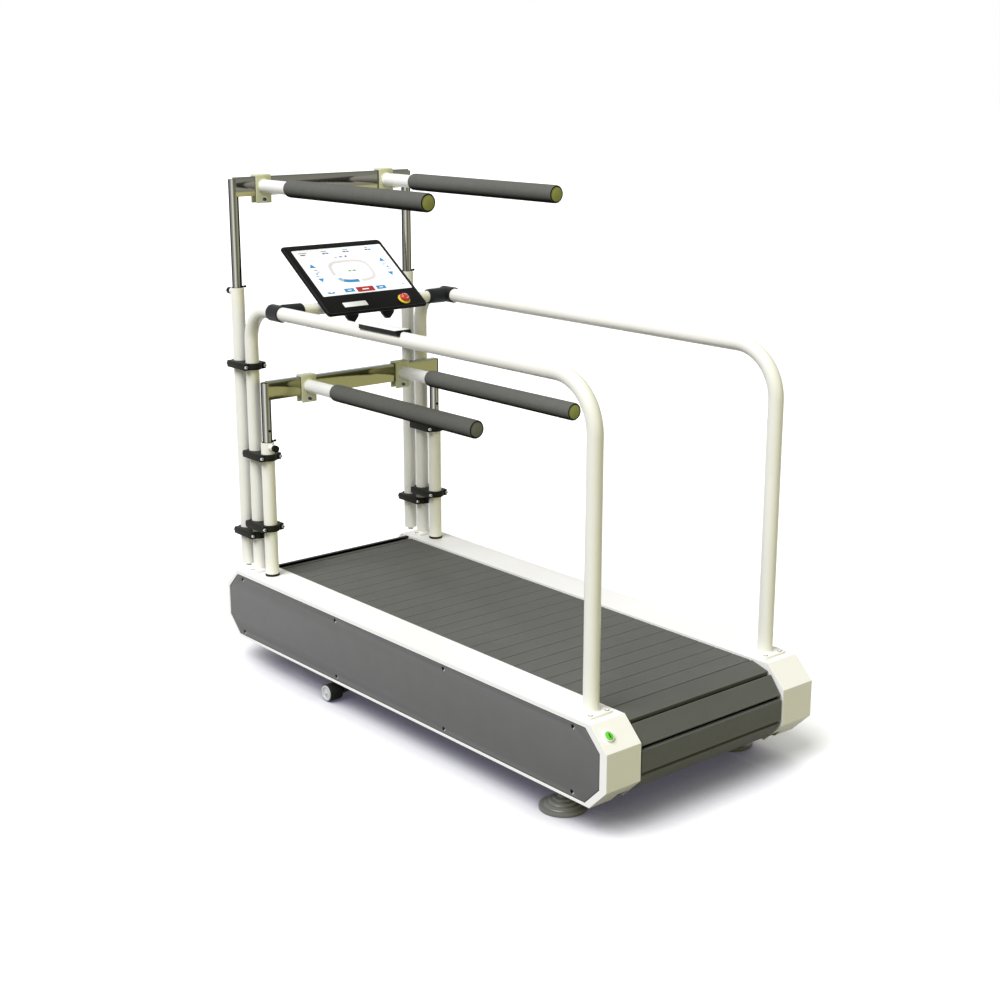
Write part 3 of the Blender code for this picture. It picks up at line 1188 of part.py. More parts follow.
def build_arm_frames():
    frames = (
        ("upper", OUTER_SLEEVE_Y, UPPER_BAR_HEIGHT, UPPER_ROD_LENGTH, UPPER_ARM_X,
         OUTER_SLEEVE_TOP - PIN_DROP, 1),
        ("lower", INNER_SLEEVE_Y, LOWER_BAR_HEIGHT, LOWER_ROD_LENGTH, LOWER_ARM_X,
         INNER_SLEEVE_TOP - PIN_DROP, -1),
    )
    for name, y, bar_height, rod_length, arm_x, pin_height, direction in frames:
        slide = joint_empty(f"{name}_frame_slide", (0, y, bar_height))
        carry(slide, arm_frame(f"{name}_frame", y, bar_height, rod_length, pin_height, direction))
        for label, side in SIDES:
            x = side * arm_x
            holder = joint_empty(f"{name}_{label}_arm_slide", (x, y, bar_height))
            carry(holder, support_arm(f"{name}_{label}_arm", x, y, bar_height),
                  grip(f"{name}_{label}_grip", x, y, bar_height))


def build_console():
    cross_tube()
    handrail_tray()
    for label, side in SIDES:
        tube_connector(label, side)
    tilt = joint_empty("console_tilt", (0, CROSS_TUBE_Y, HANDRAIL_HEIGHT))
    carry(tilt, console_body(), touch_screen())
    stop_place = console_place() @ Vector((STOP_X, STOP_Y, 0))
    carry(joint_empty("emergency_stop_press", stop_place), emergency_stop())


clear_scene()
build_base()
build_drive()
build_supports()
build_posts()
build_arm_frames()
build_console()
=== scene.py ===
"""Looks for the slat-belt treadmill ergometer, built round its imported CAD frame."""

from math import asin, copysign, cos, degrees, hypot, pi, radians, sin, sqrt, tan, tau

import bmesh
import bpy
from mathutils import Matrix, Vector


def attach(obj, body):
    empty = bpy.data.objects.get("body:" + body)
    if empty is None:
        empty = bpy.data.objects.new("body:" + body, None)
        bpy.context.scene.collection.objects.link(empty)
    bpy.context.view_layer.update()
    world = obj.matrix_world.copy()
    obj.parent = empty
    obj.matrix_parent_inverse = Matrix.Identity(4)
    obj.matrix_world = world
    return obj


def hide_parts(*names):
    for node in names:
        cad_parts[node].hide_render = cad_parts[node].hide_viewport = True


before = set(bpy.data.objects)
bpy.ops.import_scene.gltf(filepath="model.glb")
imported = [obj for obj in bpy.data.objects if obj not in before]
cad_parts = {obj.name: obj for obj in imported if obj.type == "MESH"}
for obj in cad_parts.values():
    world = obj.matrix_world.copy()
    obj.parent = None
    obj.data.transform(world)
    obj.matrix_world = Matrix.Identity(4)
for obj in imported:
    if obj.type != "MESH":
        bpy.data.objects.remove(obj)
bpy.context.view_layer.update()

# The frame's main sizes and places in metres, as in the part's source
GAP = 0.0003
SIDES = (("left", -1), ("right", 1))
SIDE_FACE = 0.3675
BASE_Y = -0.00715
FRONT_END = BASE_Y + 0.841
REAR_END = BASE_Y - 0.841
GROUND_CLEARANCE = 0.075
DECK_TOP = 0.286
END_CHAMFER = 0.057
PANEL_REAR, PANEL_FRONT = REAR_END + 0.024, FRONT_END - 0.0105
PANEL_LOW, PANEL_HIGH = GROUND_CLEARANCE + 0.0075, DECK_TOP - 0.0118
PANEL_CUT = 0.05
DRUM_Z = 0.178
REAR_DRUM_Y = REAR_END + 0.103
FRONT_DRUM_Y = FRONT_END - 0.126
WHEEL_Y = FRONT_END - 0.518
WHEEL_R = 0.025
FOOT_Y = REAR_END + 0.216
FOOT_X = 0.304
POST_X = 0.311
POST_PITCH = 0.067
OUTER_Y = FRONT_END - 0.0355
LEG_Y = OUTER_Y - POST_PITCH
INNER_Y = LEG_Y - POST_PITCH
REAR_LEG_Y = REAR_END + 0.115
RAIL_Z = 1.086
FRONT_BEND, REAR_BEND = 0.095, 0.13
FLANGE = 0.006
TUBE_R = 0.02
ROD_R = 0.01425
OUTER_TOP, INNER_TOP = 1.138, 0.696
OUTER_LIFT = 0.009
PIN_DROP = 0.0125
BOSS_LENGTH = 0.014
KNOB_LENGTH = 0.0155
INDEX_PITCH = 0.048
CLAMPS = (("outer", "upper", 0.915), ("inner", "upper", 0.6525),
          ("inner", "lower", 0.436), ("outer", "lower", 0.402))
CLAMP_HALF_WIDTH, CLAMP_HALF_HEIGHT = 0.037, 0.00975
CLAMP_EAR, CLAMP_RING, CLAMP_CORNER = 0.017, 0.027, 0.004
UPPER_BAR_Z, LOWER_BAR_Z = 1.4285, 0.851
UPPER_ROD, LOWER_ROD = 0.72, 0.48
BAR_H, BAR_D = 0.055, 0.02
BAR_FORWARD = 0.006
UPPER_ARM_X, LOWER_ARM_X = 0.221, 0.173
ARM_REACH = 0.806
ARM_TUBE_R = 0.019
GRIP_LENGTH, GRIP_R = 0.65, 0.025
SADDLE_HALF = 0.025
SADDLE_WALL = 0.006
SADDLE_DROP = 0.021
CROSS_Y = LEG_Y - 0.1435
CROSS_R = 0.0175
CONSOLE_TILT = radians(35.2)
CONSOLE_FORWARD, CONSOLE_RISE = 0.0539, 0.0772
CONSOLE_W, CONSOLE_D = 0.36, 0.303
SCREEN_W, SCREEN_D = 0.322, 0.203
SCREEN_AT = (0.007, 0.027)
STOP_AT = (0.108, -0.12)
MOUNT_SPACING = 0.129
MOUNT_DROP, MOUNT_TAPER = 0.03, 0.019
TRAY_SETBACK, TRAY_LENGTH = 0.5825, 0.158
TRAY_RISE, TRAY_FOOT_RISE = 0.024, 0.012
TRAY_FRONT_FLARE, TRAY_REAR_FLARE = 0.006, 0.013
BUTTON_INSET = 0.031


# Materials

# Warm grey hue of the painted shade and reflection bands
PAINTED_LIGHT_HUE = (1.0, 0.99, 0.92)


def feed(socket, value):
    """Set a socket, or link another node's output to it."""
    if isinstance(value, bpy.types.NodeSocket):
        socket.id_data.links.new(value, socket)
    else:
        socket.default_value = value


def fill(made, **values):
    """Fill in a node's settings and sockets by name."""
    for key, value in values.items():
        if hasattr(made, key):
            setattr(made, key, value)
        else:
            feed(made.inputs[key.replace("_", " ")], value)
    return made


def node(tree, kind, **values):
    return fill(tree.nodes.new("ShaderNode" + kind), **values)


def maths(tree, operation, *values):
    made = node(tree, "Math", operation=operation)
    for socket, value in zip(made.inputs, values):
        feed(socket, value)
    return made.outputs["Value"]


def surface(name, colour, roughness, specular=0.5, metallic=0.0, vary=0.05, vary_scale=14.0, grain=0.0,
            grain_scale=900, stretch=(1.0, 1.0, 1.0), rough_vary=0.06, tint=1.0):
    """A Principled material with colour drift, uneven gloss and a fine grain, all procedural."""
    made = bpy.data.materials.new(name)
    made.use_nodes = True
    tree = made.node_tree
    place = node(tree, "TexCoord").outputs["Object"]
    place = node(tree, "Mapping", Vector=place, Scale=stretch).outputs["Vector"]
    drift = node(tree, "TexNoise", Vector=place, Scale=vary_scale, Detail=5.0, Roughness=0.6)
    ramp = node(tree, "ValToRGB", Fac=drift.outputs["Fac"])
    low, high = ramp.color_ramp.elements
    low.position, high.position = 0.3, 0.7
    low.color = (*[c * (1 - vary) for c in colour], 1.0)
    high.color = (*[min(1.0, c * (1 + vary)) for c in colour], 1.0)
    wear = node(tree, "TexNoise", Vector=place, Scale=vary_scale * 3.1, Detail=6.0, Roughness=0.7)
    gloss = node(tree, "MapRange", Value=wear.outputs["Fac"], To_Min=max(0.02, roughness - rough_vary),
                 To_Max=min(1.0, roughness + rough_vary))
    shader = fill(tree.nodes["Principled BSDF"], Base_Color=ramp.outputs["Color"], Metallic=metallic,
                  Roughness=gloss.outputs["Result"], Specular_IOR_Level=specular,
                  Specular_Tint=(tint, tint, tint, 1.0))
    if grain:
        fine = node(tree, "TexNoise", Vector=place, Scale=grain_scale, Detail=3.0, Roughness=0.55)
        bump = node(tree, "Bump", Height=fine.outputs["Fac"], Strength=grain, Distance=0.0004)
        fill(shader, Normal=bump.outputs["Normal"])
    return made


def glow(name, colour, roughness=0.25, strength=0.0):
    """A flat print on the lit display."""
    made = surface(name, colour, roughness, vary=0.01, vary_scale=30.0, rough_vary=0.03)
    fill(made.node_tree.nodes["Principled BSDF"], Emission_Color=(*colour, 1.0), Emission_Strength=strength)
    return made


def painted_light_bands(material, measure, low, high, tones):
    """Multiply a material's colour by bands of painted shade, highlight and reflection: round an upright
    post, up a bar or by how far a face looks down.

    A tone is its place in the range, its level and, where it isn't the painted light's warm grey, its hue.
    """
    tree = material.node_tree
    base = tree.nodes["Principled BSDF"].inputs["Base Color"]
    place = node(tree, "TexCoord").outputs["Object" if measure == "height" else "Normal"]
    split = node(tree, "SeparateXYZ", Vector=place).outputs
    value = split["Z"]
    if measure == "turn":
        angle = maths(tree, "ARCTAN2", split["Y"], split["X"])
        value = maths(tree, "FRACT", maths(tree, "DIVIDE", angle, tau))
    share = node(tree, "MapRange", Value=value, From_Min=low, From_Max=high)
    bands = node(tree, "ValToRGB", Fac=share.outputs["Result"])
    stops = [(spot, (*[level * c for c in hue or PAINTED_LIGHT_HUE], 1.0)) for spot, level, *hue in tones]
    first, last = bands.color_ramp.elements
    first.position, first.color = stops[0]
    last.position, last.color = stops[-1]
    for spot, colour in stops[1:-1]:
        bands.color_ramp.elements.new(spot).color = colour
    product = node(tree, "Mix", data_type="RGBA", blend_type="MULTIPLY", Factor=1.0)
    feed(product.inputs[6], base.links[0].from_socket)
    feed(product.inputs[7], bands.outputs["Color"])
    feed(base, product.outputs[2])


def brushed_painted_reflections(name, bar_z, tones):
    """Brushed steel with painted reflections in bands up the height of a flat bar."""
    made = surface(name, (1.0, 1.0, 1.0), 0.09, metallic=1.0, stretch=(1.0, 90.0, 90.0), grain=0.05,
                   grain_scale=40, rough_vary=0.04)
    painted_light_bands(made, "height", bar_z - BAR_H / 2, bar_z + BAR_H / 2, tones)
    return made


WHITE = surface("white_powder_coat", (0.965, 0.96, 0.94), 0.34, 0.35, vary=0.01, grain=0.1, grain_scale=1400)
TUBE_PAINT = surface("white_tube_paint", (0.9, 0.893, 0.835), 0.3, 0.4, vary=0.012, grain=0.08,
                     grain_scale=1400)
# Olive-toned and darker than the white paint, for the arm saddles and the beads at the tube seams.
PLATE = surface("arm_plate_paint", (0.68, 0.69, 0.49), 0.34, 0.35, vary=0.015, grain=0.1, grain_scale=1400)
GREY = surface("grey_panel_paint", (0.132, 0.132, 0.132), 0.5, 0.25, vary=0.03, grain=0.12, grain_scale=1800)
INNER = surface("frame_paint", (0.045, 0.045, 0.048), 0.5, vary=0.08, grain=0.1)
SLAT = surface("slat_rubber", (0.105, 0.108, 0.097), 0.62, 0.3, vary_scale=9.0, grain=0.3, grain_scale=2200)
# Near-black rubber web, also painted shade in the gaps between slats
WEB_GAP_SHADE = surface("web_rubber_gap_shade", (0.0015, 0.0015, 0.0015), 0.9, 0.05, vary=0.04, grain=0.3)
RUBBER = surface("black_rubber", (0.016, 0.016, 0.015), 0.66, 0.2, vary=0.04, grain=0.35)
BLACK = surface("black_plastic", (0.0045, 0.0048, 0.0045), 0.36, 0.06, grain=0.22, grain_scale=2600)
CLAMP = surface("clamp_plastic", (0.0165, 0.0168, 0.0135), 0.46, 0.06, grain=0.3, grain_scale=2000)
TEE = surface("connector_plastic", (0.0125, 0.0135, 0.0155), 0.42, 0.14, grain=0.25, grain_scale=2000)
TRAY = surface("tray_plastic", (0.003, 0.004, 0.0035), 0.42, 0.06, grain=0.25, grain_scale=2400)
# The lighter ring round the console case's edge is a painted highlight.
RIM_HIGHLIGHT = surface("case_rim_painted_highlight", (0.045, 0.045, 0.046), 0.5, 0.1)
POST_CAP = surface("post_cap_plastic", (0.01, 0.01, 0.016), 0.4, 0.12, grain=0.15)
# Near-black painted shadow for drive holes, hole floors, vent slits, sunk screws and the panel seams
PAINTED_SHADOW = surface("socket_shadow", (0.006, 0.006, 0.006), 0.8, 0.1, vary=0.04)
FOOT = surface("foot_plastic", (0.135, 0.137, 0.125), 0.34, grain=0.06)
HUB = surface("wheel_hub", (0.55, 0.56, 0.58), 0.35, vary=0.03, grain=0.08)
# The grip end caps are one part in two tones of painted reflection: olive, and grey on the lower left grip.
CAP_OLIVE_REFLECTION = surface("grip_end_cap_olive_reflection", (0.34, 0.36, 0.115), 0.42, 0.1, vary=0.04, grain=0.1)
CAP_GREY_REFLECTION = surface("grip_end_cap_grey_reflection", (0.2, 0.2, 0.18), 0.42, 0.1, vary=0.04, grain=0.1)
FOAM = surface("grip_foam", (0.142, 0.144, 0.132), 0.9, 0.02, vary_scale=40.0, grain=0.75, grain_scale=1500)
# Faces of the grip foam that look down are darkened to a near-black lower edge: painted shade.
painted_light_bands(FOAM, "down", -1.0, 1.0, (
    (0.08, 0.02), (0.16, 0.1), (0.24, 0.55), (0.34, 0.85, 1.0, 1.0, 1.0), (0.6, 1.0, 1.0, 1.0, 1.0),
    (1.0, 1.0, 1.0, 1.0, 1.0)))
CHROME_PAINTED_REFLECTIONS = surface("polished_post_painted_reflections", (1.0, 1.0, 1.0), 0.2, metallic=1.0, vary=0.03, stretch=(60.0, 60.0, 1.0),
                 grain=0.05, rough_vary=0.04, tint=0.2)
# Bands round each post are painted reflections: dark and light stripes, olive-tinted on one side.
painted_light_bands(CHROME_PAINTED_REFLECTIONS, "turn", 0.0, 1.0, (
    (0.0, 0.24), (0.05, 0.1), (0.1, 0.36), (0.14, 0.43), (0.19, 0.2), (0.24, 0.06), (0.28, 0.16),
    (0.33, 0.32), (0.37, 0.1), (0.395, 0.0222), (0.46, 0.0222), (0.5, 0.0444), (0.545, 0.141),
    (0.5825, 0.207), (0.6075, 0.459), (0.6275, 0.488), (0.655, 0.252, 1.0, 0.98, 0.86),
    (0.685, 0.0629, 1.0, 0.97, 0.55),
    (0.725, 0.163, 1.0, 0.98, 0.6), (0.7675, 0.222, 1.0, 0.98, 0.68), (0.8, 0.0222), (0.85, 0.00888),
    (0.885, 0.012), (0.925, 0.12), (0.965, 0.3), (1.0, 0.24)))
# Upper bar bands are painted reflections: olive low down, a dark band, grey above and a dark bluish top edge.
UPPER_BAR = brushed_painted_reflections("brushed_bar", UPPER_BAR_Z, (
    (0.0, 1.0, 0.275, 0.258, 0.119), (0.2, 1.0, 0.285, 0.268, 0.12), (0.27, 1.0, 0.135, 0.13, 0.1),
    (0.45, 1.0, 0.19, 0.18, 0.155), (0.62, 1.0, 0.21, 0.2, 0.175), (0.95, 1.0, 0.17, 0.175, 0.135),
    (1.0, 1.0, 0.075, 0.08, 0.085)))
# Lower bar bands are painted reflections: olive, with a bluish top edge.
LOWER_BAR = brushed_painted_reflections("brushed_lower_bar", LOWER_BAR_Z, (
    (0.0, 1.0, 0.205, 0.198, 0.082), (0.95, 1.0, 0.205, 0.198, 0.082), (1.0, 1.0, 0.15, 0.19, 0.27)))
STEEL = surface("plated_steel", (0.5, 0.5, 0.48), 0.3, metallic=1.0, grain=0.06)
DARK_STEEL = surface("dark_steel", (0.08, 0.08, 0.08), 0.42, metallic=1.0, vary=0.08)
CAST = surface("cast_aluminium", (0.36, 0.37, 0.38), 0.5, metallic=0.8, vary=0.08, grain=0.5, grain_scale=500)
# White of the blank label and the start bezel, also used for painted highlights on the panel screws and the
# stop button
LABEL_WHITE_AND_HIGHLIGHT = surface("blank_label_white_and_highlight", (0.94, 0.95, 0.99), 0.35, 0.3, vary=0.02)
YELLOW = surface("stop_yellow", (0.88, 0.74, 0.06), 0.32, 0.3, vary=0.03)
RED = surface("stop_red", (0.66, 0.03, 0.022), 0.25, vary=0.03)
GREEN = surface("start_green", (0.13, 0.7, 0.03), 0.28, 0.4, vary=0.04)
SCREEN = glow("screen_white", (0.87, 0.9, 0.96), 0.14, 0.36)
UI_BLUE = glow("screen_blue", (0.032, 0.31, 0.72))
UI_RED = glow("screen_red", (0.52, 0.01, 0.01))
UI_GREY = glow("screen_grey", (0.82, 0.78, 0.82), strength=0.14)
UI_PALE = glow("screen_pale_blue", (0.45, 0.66, 0.86))
UI_DARK = glow("screen_dark", (0.16, 0.16, 0.18))
UI_GREEN = glow("screen_green", (0.18, 0.42, 0.06))


# Mesh building

SHARP_EDGE = radians(28)
SMOOTH = 32.0
YZ_PLANE = Matrix(((0, 0, 1), (1, 0, 0), (0, 1, 0))).to_4x4()
XZ_PLANE = Matrix(((1, 0, 0), (0, 0, -1), (0, 1, 0))).to_4x4()
FLAT = Matrix.Identity(4)


def at(x=0.0, y=0.0, z=0.0):
    return Matrix.Translation((x, y, z))


def facing(*direction):
    """Turns local Z onto a direction."""
    return Vector(direction).to_track_quat("Z", "Y").to_matrix().to_4x4()


def put(name, data):
    """Link a new object to the scene."""
    made = bpy.data.objects.new(name, data)
    bpy.context.scene.collection.objects.link(made)
    return made


def baked(thing):
    """A new mesh of an object as it shows, with its curve settings or modifiers applied."""
    bpy.context.view_layer.update()
    return bpy.data.meshes.new_from_object(thing.evaluated_get(bpy.context.evaluated_depsgraph_get()))


def pour(form, whole):
    """Add a form to a larger one, and free it."""
    mesh = bpy.data.meshes.new("part")
    form.to_mesh(mesh)
    form.free()
    whole.from_mesh(mesh)
    bpy.data.meshes.remove(mesh)


def arc(centre, radius, start, end, steps):
    angles = [radians(start + (end - start) * i / steps) for i in range(steps + 1)]
    return [(centre[0] + radius * cos(a), centre[1] + radius * sin(a)) for a in angles]


def rounded(width, depth, corner, centre=(0.0, 0.0), steps=5):
    """Outline of a rectangle with round corners."""
    points = []
    for sx, sy, start in ((1, 1, 0), (-1, 1, 90), (-1, -1, 180), (1, -1, 270)):
        middle = (centre[0] + sx * (width / 2 - corner), centre[1] + sy * (depth / 2 - corner))
        points += arc(middle, corner, start, start + 90, steps)
    return points


def skin(loops, closed=False):
    """Skin equal loops of points one after another, then cap the ends or close the row into a ring."""
    form = bmesh.new()
    rows = [[form.verts.new(p) for p in loop] for loop in loops]
    count = len(rows[0])
    pairs = list(zip(rows, rows[1:]))
    if closed:
        pairs.append((rows[-1], rows[0]))
    for a, b in pairs:
        for i in range(count):
            j = (i + 1) % count
            form.faces.new((a[i], a[j], b[j], b[i]))
    if not closed:
        form.faces.new(rows[0][::-1])
        form.faces.new(rows[-1])
    bmesh.ops.recalc_face_normals(form, faces=form.faces)
    return form


def lathe(profile, segments=48):
    """Turn (radius, height) points about Z; a profile that leaves the axis is closed into a ring."""
    form = bmesh.new()
    rows = []
    for radius, height in profile:
        angles = [tau * i / segments for i in range(segments if radius else 1)]
        rows.append([form.verts.new((radius * cos(a), radius * sin(a), height)) for a in angles])
    pairs = list(zip(rows, rows[1:]))
    if profile[0][0] or profile[-1][0]:
        pairs.append((rows[-1], rows[0]))
    for a, b in pairs:
        for i in range(segments):
            j = (i + 1) % segments
            corners = list(dict.fromkeys([a[i % len(a)], a[j % len(a)], b[j % len(b)], b[i % len(b)]]))
            if len(corners) > 2:
                form.faces.new(corners)
    bmesh.ops.recalc_face_normals(form, faces=form.faces)
    return form


def turned(radius, height, steps, segments=48):
    """Lathe a profile given as steps from a radius and a height."""
    return lathe([(radius + a, height + b) for a, b in steps], segments)


def rod(radius, start, end, sides):
    """A plain bar along Z."""
    return lathe([(0, start), (radius, start), (radius, end), (0, end)], sides)


def sweep(path, radius, sides):
    """A round bar along points, square to the path at each."""
    path = [Vector(p) for p in path]
    loops = []
    side = (path[1] - path[0]).normalized().orthogonal().normalized()
    for i, point in enumerate(path):
        tangent = (path[min(i + 1, len(path) - 1)] - path[max(i - 1, 0)]).normalized()
        side = (side - tangent * side.dot(tangent)).normalized()
        up = tangent.cross(side)
        loops.append(
            [point + radius * (cos(a) * side + sin(a) * up) for a in (tau * k / sides for k in range(sides))])
    return skin(loops)


def soften(form, width, segments=2):
    """Round the sharp edges."""
    sharp = [e for e in form.edges if e.calc_face_angle(0) > SHARP_EDGE]
    bmesh.ops.bevel(form, geom=sharp, offset=width, segments=segments, profile=0.5, affect="EDGES",
                    clamp_overlap=True)
    return form


def block(low, high, bevel, segments):
    """A box between two corners, with round edges."""
    low, high = Vector(low), Vector(high)
    stretch = Matrix.Diagonal((*(high - low), 1.0))
    form = bmesh.new()
    bmesh.ops.create_cube(form, size=1.0, matrix=at(*(low + high) / 2) @ stretch)
    return soften(form, bevel, segments)


def plate(outline, start, end, bevel=0.0, plane=FLAT, holes=()):
    """Extrude a flat outline from start to end along the plane's normal, with rounded edges."""
    curve = bpy.data.curves.new("outline", "CURVE")
    curve.dimensions = "2D"
    curve.fill_mode = "BOTH"
    curve.extrude = abs(end - start) / 2 - bevel
    curve.bevel_depth = bevel
    curve.bevel_resolution = 1
    curve.offset = -bevel
    for loop in (outline, *holes):
        spline = curve.splines.new("POLY")
        spline.points.add(len(loop) - 1)
        for point, (across, up) in zip(spline.points, loop):
            point.co = (across, up, 0.0, 1.0)
        spline.use_cyclic_u = True
    shape = put("outline", curve)
    mesh = baked(shape)
    form = bmesh.new()
    form.from_mesh(mesh)
    bpy.data.objects.remove(shape, do_unlink=True)
    bpy.data.meshes.remove(mesh)
    bmesh.ops.remove_doubles(form, verts=form.verts, dist=1e-6)
    bmesh.ops.recalc_face_normals(form, faces=form.faces)
    form.transform(plane @ at(z=(start + end) / 2))
    return form


def piece(name, body, parts, replaced=None, smooth=SMOOTH):
    """Join (form, material[, matrix]) parts into one object that rides on a body."""
    whole = bmesh.new()
    materials = []
    for form, material, *turn in parts:
        if turn:
            form.transform(turn[0])
        if material not in materials:
            materials.append(material)
        for face in form.faces:
            face.material_index = materials.index(material)
        pour(form, whole)
    mesh = bpy.data.meshes.new(name)
    whole.to_mesh(mesh)
    whole.free()
    for material in materials:
        mesh.materials.append(material)
    mesh.shade_smooth()
    mesh.set_sharp_from_angle(angle=radians(smooth))
    made = put(name, mesh)
    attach(made, body)
    if replaced:
        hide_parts(replaced)
    return made


def subtract(target, cutters):
    """Cut forms out of an object for good."""
    joined = bmesh.new()
    for form in cutters:
        pour(form, joined)
    mesh = bpy.data.meshes.new("cutter")
    joined.to_mesh(mesh)
    joined.free()
    tool = put("cutter", mesh)
    step = target.modifiers.new("cut", "BOOLEAN")
    step.object = tool
    old = target.data
    fresh = baked(target)
    target.modifiers.clear()
    target.data = fresh
    fresh.set_sharp_from_angle(angle=radians(SMOOTH))
    bpy.data.meshes.remove(old)
    bpy.data.objects.remove(tool, do_unlink=True)


def screw_head(radius, height):
    """Button-head screw with a round drive hole, standing on its own origin."""
    shares = ((1, 0.35), (0.86, 0.8), (0.6, 1), (0.45, 1), (0.441, 0.4), (0, 0.4))
    return lathe([(0, -0.001), (radius, -0.001)] + [(radius * a, height * b) for a, b in shares], 24)


def screws(places, direction, radius, height, material=STEEL):
    """Parts for several screws that face one way, each with a dark hexagon of painted shade in its drive
    hole.
    """
    parts = []
    for place in places:
        turn = at(*place) @ facing(*direction)
        parts.append((screw_head(radius, height), material, turn))
        parts.append((rod(radius * 0.44, height * 0.45, height * 0.38, 6), PAINTED_SHADOW, turn))
    return parts


def hex_nut(radius, height):
    return soften(rod(radius, 0, height, 6), radius * 0.08)


def keep(name, material, bevel=0.0):
    """Keep a CAD node: give it a finish and, if asked, rounded edges."""
    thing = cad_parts[name]
    for slot in thing.material_slots:
        slot.material = material
    if bevel:
        weld = thing.modifiers.new("weld", "WELD")
        weld.merge_threshold = 0.00002
        flat = thing.modifiers.new("flat", "DECIMATE")
        flat.decimate_type = "DISSOLVE"
        flat.angle_limit = radians(1.0)
        edge = thing.modifiers.new("edge", "BEVEL")
        edge.width = bevel
        edge.segments = 2
        edge.limit_method = "ANGLE"
        edge.angle_limit = SHARP_EDGE
        edge.harden_normals = True


# Base

def panel_outline(inset):
    """Outline of the side panel's seat in its housing, drawn in by an inset."""
    rear, front = PANEL_REAR + inset, PANEL_FRONT - inset
    low, high = PANEL_LOW + inset, PANEL_HIGH - inset
    back = PANEL_CUT - inset * (2 - sqrt(2))
    return [(rear + back, low), (front - back, low), (front, low + back), (front, high - back),
            (front - back, high), (rear + back, high), (rear, high - back), (rear, low + back)]


def panel_screws(places, direction):
    """Sunk button heads in painted shadow, each with a painted highlight on its lower rim."""
    glint = arc((0, 0), 0.0066, -70, 2, 8) + arc((0, 0), 0.0051, 2, -70, 8)
    parts = screws(places, direction, 0.005, 0.0022, PAINTED_SHADOW)
    for place in places:
        parts.append((plate(glint, 0.0004, 0.0022, 0.0001), LABEL_WHITE_AND_HIGHLIGHT, at(*place) @ facing(*direction)))
    return parts


def dress_base():
    """Finishes of the kept nodes, and each side panel in its gasket with sunk screws."""
    seat_depth, sunk = 0.0033, 0.0024
    screw_rows, screw_heights = (0.752, 0.262, -0.229, -0.723), (0.263, 0.096)
    for label, side in SIDES:
        keep(f"{label}_housing", WHITE, 0.0011)
        keep(f"{label}_side_beam", INNER)
        keep(f"{label}_roller_rail", INNER)
        outer = side * SIDE_FACE
        seat = outer - side * seat_depth
        places = [(outer - side * sunk, BASE_Y + y, z) for y in screw_rows for z in screw_heights]
        seats = [arc((y, z), 0.0056, 360, 15, 23) for _, y, z in places]
        panel = plate(panel_outline(0.0019), seat, outer - side * 0.0003, 0.0006, YZ_PLANE, seats)
        # The gasket is a dark seam of painted shade round the panel.
        gasket = plate(panel_outline(0.0004), seat, outer - side * 0.0012, 0.0003, YZ_PLANE)
        parts = [(panel, GREY), (gasket, PAINTED_SHADOW)] + panel_screws(places, (side, 0, 0))
        piece(f"{label}_panel", "base", parts, f"{label}_side_panel")
    keep("front_cover", BLACK, 0.0007)
    keep("motor_controller", BLACK, 0.002)
    keep("lift_frame", INNER, 0.0008)
    keep("drive_belt", RUBBER)
    for name in ("front_crossmember", "rear_crossmember"):
        keep(name, INNER)
    for name in ("drive_motor", "lift_gearmotor", "drive_drum", "idler_drum", "motor_pulley"):
        keep(name, CAST)


# Belt

BELT_HALF = 0.25
BELT_RADIUS = 0.102
SLAT_PITCH = 0.06
SLAT_GAP = 0.002
SLAT_TOP = 0.0135
RIBS = 14
RIB_MARGIN = 0.003
RIB_GROOVE = ((-0.0007, 0.0), (-0.0003, 0.00035), (0.0003, 0.00035), (0.0007, 0.0))
WEB_HALF, WEB_THICKNESS = 0.248, 0.003
HINGE_SPAN = 0.022
HINGE_PLACES = (-0.205, -0.07, 0.07, 0.205)
HINGE_RADIUS = hypot(BELT_RADIUS - SLAT_TOP, HINGE_SPAN)


def belt_point(distance):
    """Point (y, z) on the hinges' loop, from above the rear drum forwards."""
    straight = FRONT_DRUM_Y - REAR_DRUM_Y
    half_turn = pi * HINGE_RADIUS
    distance %= 2 * (straight + half_turn)
    if distance < straight:
        return Vector((REAR_DRUM_Y + distance, DRUM_Z + HINGE_RADIUS))
    distance -= straight
    if half_turn <= distance < half_turn + straight:
        return Vector((FRONT_DRUM_Y + half_turn - distance, DRUM_Z - HINGE_RADIUS))
    drum_y = FRONT_DRUM_Y
    if distance >= half_turn:
        drum_y = REAR_DRUM_Y
        distance -= straight
    angle = distance / HINGE_RADIUS
    return Vector((drum_y + HINGE_RADIUS * sin(angle), DRUM_Z + HINGE_RADIUS * cos(angle)))


